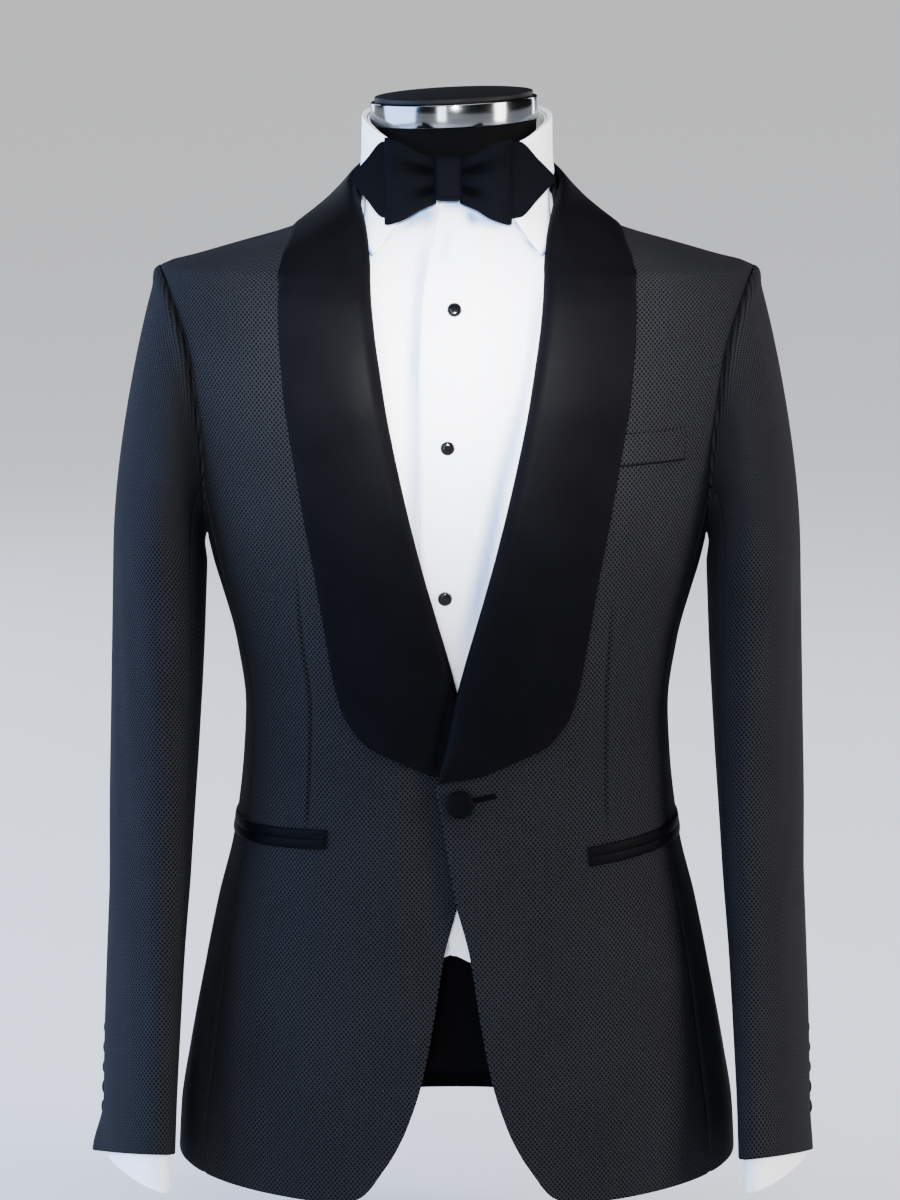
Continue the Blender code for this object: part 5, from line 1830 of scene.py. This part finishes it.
# Cotton poplin: a plain weave of fine threads, drawn coarse enough to show, with painted shade:
# pale blue in its hollows and a painted dark shadow where one edge lies over another piece.
def cottonPoplin(values):
    material, tree = newMaterial("cottonPoplin")
    cloth = addNode(tree, "UVMap", uv_map="cloth")
    parts = addNode(tree, "SeparateXYZ", {0: cloth})
    warp = threadWave(tree, parts, values["thread"], 0)
    weft = threadWave(tree, parts, values["thread"] * 1.2, 90)
    weave = addNode(tree, "Math", {0: warp, 1: weft}, operation="MULTIPLY")
    drift = addNode(tree, "TexNoise", {"Vector": cloth, "Scale": 35.0, "Detail": 2.0})
    white, shade = linear(values["white"]), linear(values["shade"])
    paintedHollowShade, shadow = linear(values["paintedHollowShade"]), linear(values["shadow"])
    ground = addNode(tree, "Mix", {0: drift, 6: white, 7: shade}, data_type="RGBA")
    creaseAndPaintedShade = addNode(tree, "Attribute", attribute_name="creaseAndPaintedShade").outputs["Fac"]
    # Painted shade: white turns pale blue at first, and dark as a shadow where the shade is
    # strongest.
    shallow = addNode(tree, "MapRange", {0: creaseAndPaintedShade, 1: 0.0, 2: 0.6})
    deep = addNode(tree, "MapRange", {0: creaseAndPaintedShade, 1: 0.6, 2: 1.0})
    paintedHollowColour = addNode(tree, "Mix", {0: shallow, 6: ground.outputs[2], 7: paintedHollowShade}, data_type="RGBA")
    colour = addNode(tree, "Mix", {0: deep, 6: paintedHollowColour.outputs[2], 7: shadow}, data_type="RGBA")
    bump = addNode(tree, "Bump", {"Strength": 0.2, "Distance": 0.00012, "Height": weave})
    setShader(tree, Base_Color=colour.outputs[2], Roughness=values["roughness"], Normal=bump)
    setShader(tree, Specular_IOR_Level=values["specular"], Sheen_Weight=values["sheen"])
    return material


silkValues = {
    "dark": "030305",
    "light": "06080d",
    "pleatAndPaintedShade": "000000",
    "rib": 1.3,
    "thread": 0.9,
    "roughness": 0.7,
    "specular": 0.02,
}


# Ribbed silk: a fine cross rib that takes the light dully, blue-black, and painted black as shade
# in its pleats.
def ribbedSilk(values):
    material, tree = newMaterial("ribbedSilk")
    cloth = addNode(tree, "UVMap", uv_map="cloth")
    parts = addNode(tree, "SeparateXYZ", {0: cloth})
    rib = threadWave(tree, parts, values["rib"], 90)
    thread = threadWave(tree, parts, values["thread"], 0)
    weave = addNode(tree, "Math", {0: thread, 1: 0.4, 2: rib}, operation="MULTIPLY_ADD")
    share = addNode(tree, "MapRange", {0: weave, 1: -1.0, 2: 1.2})
    dark, light, pleatAndPaintedShade = (linear(values[name]) for name in ("dark", "light", "pleatAndPaintedShade"))
    ground = addNode(tree, "Mix", {0: share, 6: dark, 7: light}, data_type="RGBA")
    # Painted shade: the colour turns black where the pleats carry it.
    creaseAndPaintedShade = addNode(tree, "Attribute", attribute_name="creaseAndPaintedShade").outputs["Fac"]
    colour = addNode(tree, "Mix", {0: creaseAndPaintedShade, 6: ground.outputs[2], 7: pleatAndPaintedShade}, data_type="RGBA")
    bump = addNode(tree, "Bump", {"Strength": 0.35, "Distance": 0.0003, "Height": weave})
    setShader(tree, Base_Color=colour.outputs[2], Roughness=values["roughness"], Normal=bump)
    setShader(tree, Specular_IOR_Level=values["specular"])
    return material


liningValues = {
    "dark": "020203",
    "light": "050506",
    "twill": 1.2,
    "slant": 35,
    "roughness": 0.6,
    "specular": 0.05,
}


# Cupro twill lining: deep black and smooth, with a fine steep twill.
def twillLining(values):
    material, tree = newMaterial("twillLining")
    cloth = addNode(tree, "UVMap", uv_map="cloth")
    parts = addNode(tree, "SeparateXYZ", {0: cloth})
    twill = threadWave(tree, parts, values["twill"], values["slant"])
    share = addNode(tree, "MapRange", {0: twill, 1: -1.0, 2: 1.0})
    dark, light = linear(values["dark"]), linear(values["light"])
    colour = addNode(tree, "Mix", {0: share, 6: dark, 7: light}, data_type="RGBA")
    bump = addNode(tree, "Bump", {"Strength": 0.2, "Distance": 0.0002, "Height": twill})
    setShader(tree, Base_Color=colour.outputs[2], Roughness=values["roughness"], Normal=bump)
    setShader(tree, Specular_IOR_Level=values["specular"])
    return material


jerseyValues = {"dark": "020202", "light": "060607", "roughness": 0.95, "specular": 0.05}


# Cotton jersey over the form: fine knit ribs, black and matt.
def blackJersey(values):
    material, tree = newMaterial("blackJersey")
    place = addNode(tree, "TexCoord").outputs["Object"]
    ribs = {"Vector": place, "Scale": 400.0, "Distortion": 0.6}
    knit = addNode(tree, "TexWave", ribs, bands_direction="Z")
    fuzz = addNode(tree, "TexNoise", {"Vector": place, "Scale": 300.0, "Detail": 3.0})
    dark, light = linear(values["dark"]), linear(values["light"])
    colour = addNode(tree, "Mix", {0: fuzz, 6: dark, 7: light}, data_type="RGBA")
    bump = addNode(tree, "Bump", {"Strength": 0.3, "Distance": 0.0003, "Height": knit.outputs[1]})
    setShader(tree, Base_Color=colour.outputs[2], Roughness=values["roughness"], Normal=bump)
    setShader(tree, Specular_IOR_Level=values["specular"])
    return material


steelValues = {"grey": "6c6f74", "bright": "85888d", "roughness": (0.08, 0.17)}


# Polished stainless steel: clear reflections, broken by faint wiping marks round the band.
def polishedSteel(values):
    material, tree = newMaterial("polishedSteel")
    place = addNode(tree, "TexCoord").outputs["Object"]
    stretched = addNode(tree, "Mapping", {"Vector": place, "Scale": (3.0, 3.0, 260.0)})
    marks = addNode(tree, "TexNoise", {"Vector": stretched, "Scale": 8.0, "Detail": 4.0})
    low, high = values["roughness"]
    rough = addNode(tree, "MapRange", {0: marks, 1: 0.2, 2: 0.8, 3: low, 4: high})
    grey, bright = linear(values["grey"]), linear(values["bright"])
    colour = addNode(tree, "Mix", {0: marks, 6: grey, 7: bright}, data_type="RGBA")
    setShader(tree, Base_Color=colour.outputs[2], Metallic=1.0, Roughness=rough)
    return material


absValues = {"dark": "050506", "light": "0c0c0e", "roughness": 0.55, "specular": 0.12}


# Moulded ABS: black, half matt, with a fine spark-eroded grain.
def mouldedAbs(values):
    material, tree = newMaterial("mouldedAbs")
    place = addNode(tree, "TexCoord").outputs["Object"]
    grain = addNode(tree, "TexNoise", {"Vector": place, "Scale": 1400.0, "Detail": 2.0})
    dark, light = linear(values["dark"]), linear(values["light"])
    colour = addNode(tree, "Mix", {0: grain, 6: dark, 7: light}, data_type="RGBA")
    bump = addNode(tree, "Bump", {"Strength": 0.15, "Distance": 0.0001, "Height": grain})
    setShader(tree, Base_Color=colour.outputs[2], Roughness=values["roughness"], Normal=bump)
    setShader(tree, Specular_IOR_Level=values["specular"])
    return material


onyxValues = {"dark": "030304", "light": "0a0a0c", "roughness": 0.12, "specular": 0.16}


# Cut onyx: black and glossy, with a trace of cloud in it.
def cutOnyx(values):
    material, tree = newMaterial("cutOnyx")
    place = addNode(tree, "TexCoord").outputs["Object"]
    cloud = addNode(tree, "TexNoise", {"Vector": place, "Scale": 500.0, "Detail": 3.0})
    dark, light = linear(values["dark"]), linear(values["light"])
    colour = addNode(tree, "Mix", {0: cloud, 6: dark, 7: light}, data_type="RGBA")
    setShader(tree, Base_Color=colour.outputs[2], Roughness=values["roughness"])
    setShader(tree, Specular_IOR_Level=values["specular"])
    return material


wool, satin, cotton = birdseyeWool(woolValues), blackSatin(satinValues), cottonPoplin(cottonValues)
silk, lining, jersey = ribbedSilk(silkValues), twillLining(liningValues), blackJersey(jerseyValues)
steel, plastic, onyx = polishedSteel(steelValues), mouldedAbs(absValues), cutOnyx(onyxValues)
print("materials made")

for side, suffix in sides:
    jacketFront(side, suffix, wool, lining)
    jacketSide(side, suffix, wool, lining)
    jacketBack(side, suffix, wool, lining)
    jacketSleeve(side, suffix, wool, lining)
    shawlCollar(side, suffix, satin, wool)
    hipPocket(side, suffix, satin)
underCollar(wool)
breastWelt(wool)
print("jacket made")

for side, suffix in sides:
    shirtFront(side, suffix, cotton)
    shirtSleeve(side, suffix, cotton)
    shirtCuff(side, suffix, cotton)
shirtBack(cotton)
collarStand(cotton)
collarLeaf(cotton)
print("shirt made")

bowKnot(silk)
bowBand(silk)
for side, suffix in sides:
    middle = bowValues["height"]
    bowSheet(side, "bowLoop_" + suffix, bowLoop, middle - 2, 1.0, silk)
    reach = bowValues["endReach"][suffix]
    bowSheet(side, "bowEnd_" + suffix, bowEnd, middle - 1.5, 0.0, silk, reach)
frontButton(satin)
buttonhole(silk)
sleeveButtons(satin)
shirtStuds(onyx, steel)
print("bow tie, buttons and studs made")

formTorso(jersey)
neckRingAndCap(steel, plastic)
stand(steel)
print("form and stand made")
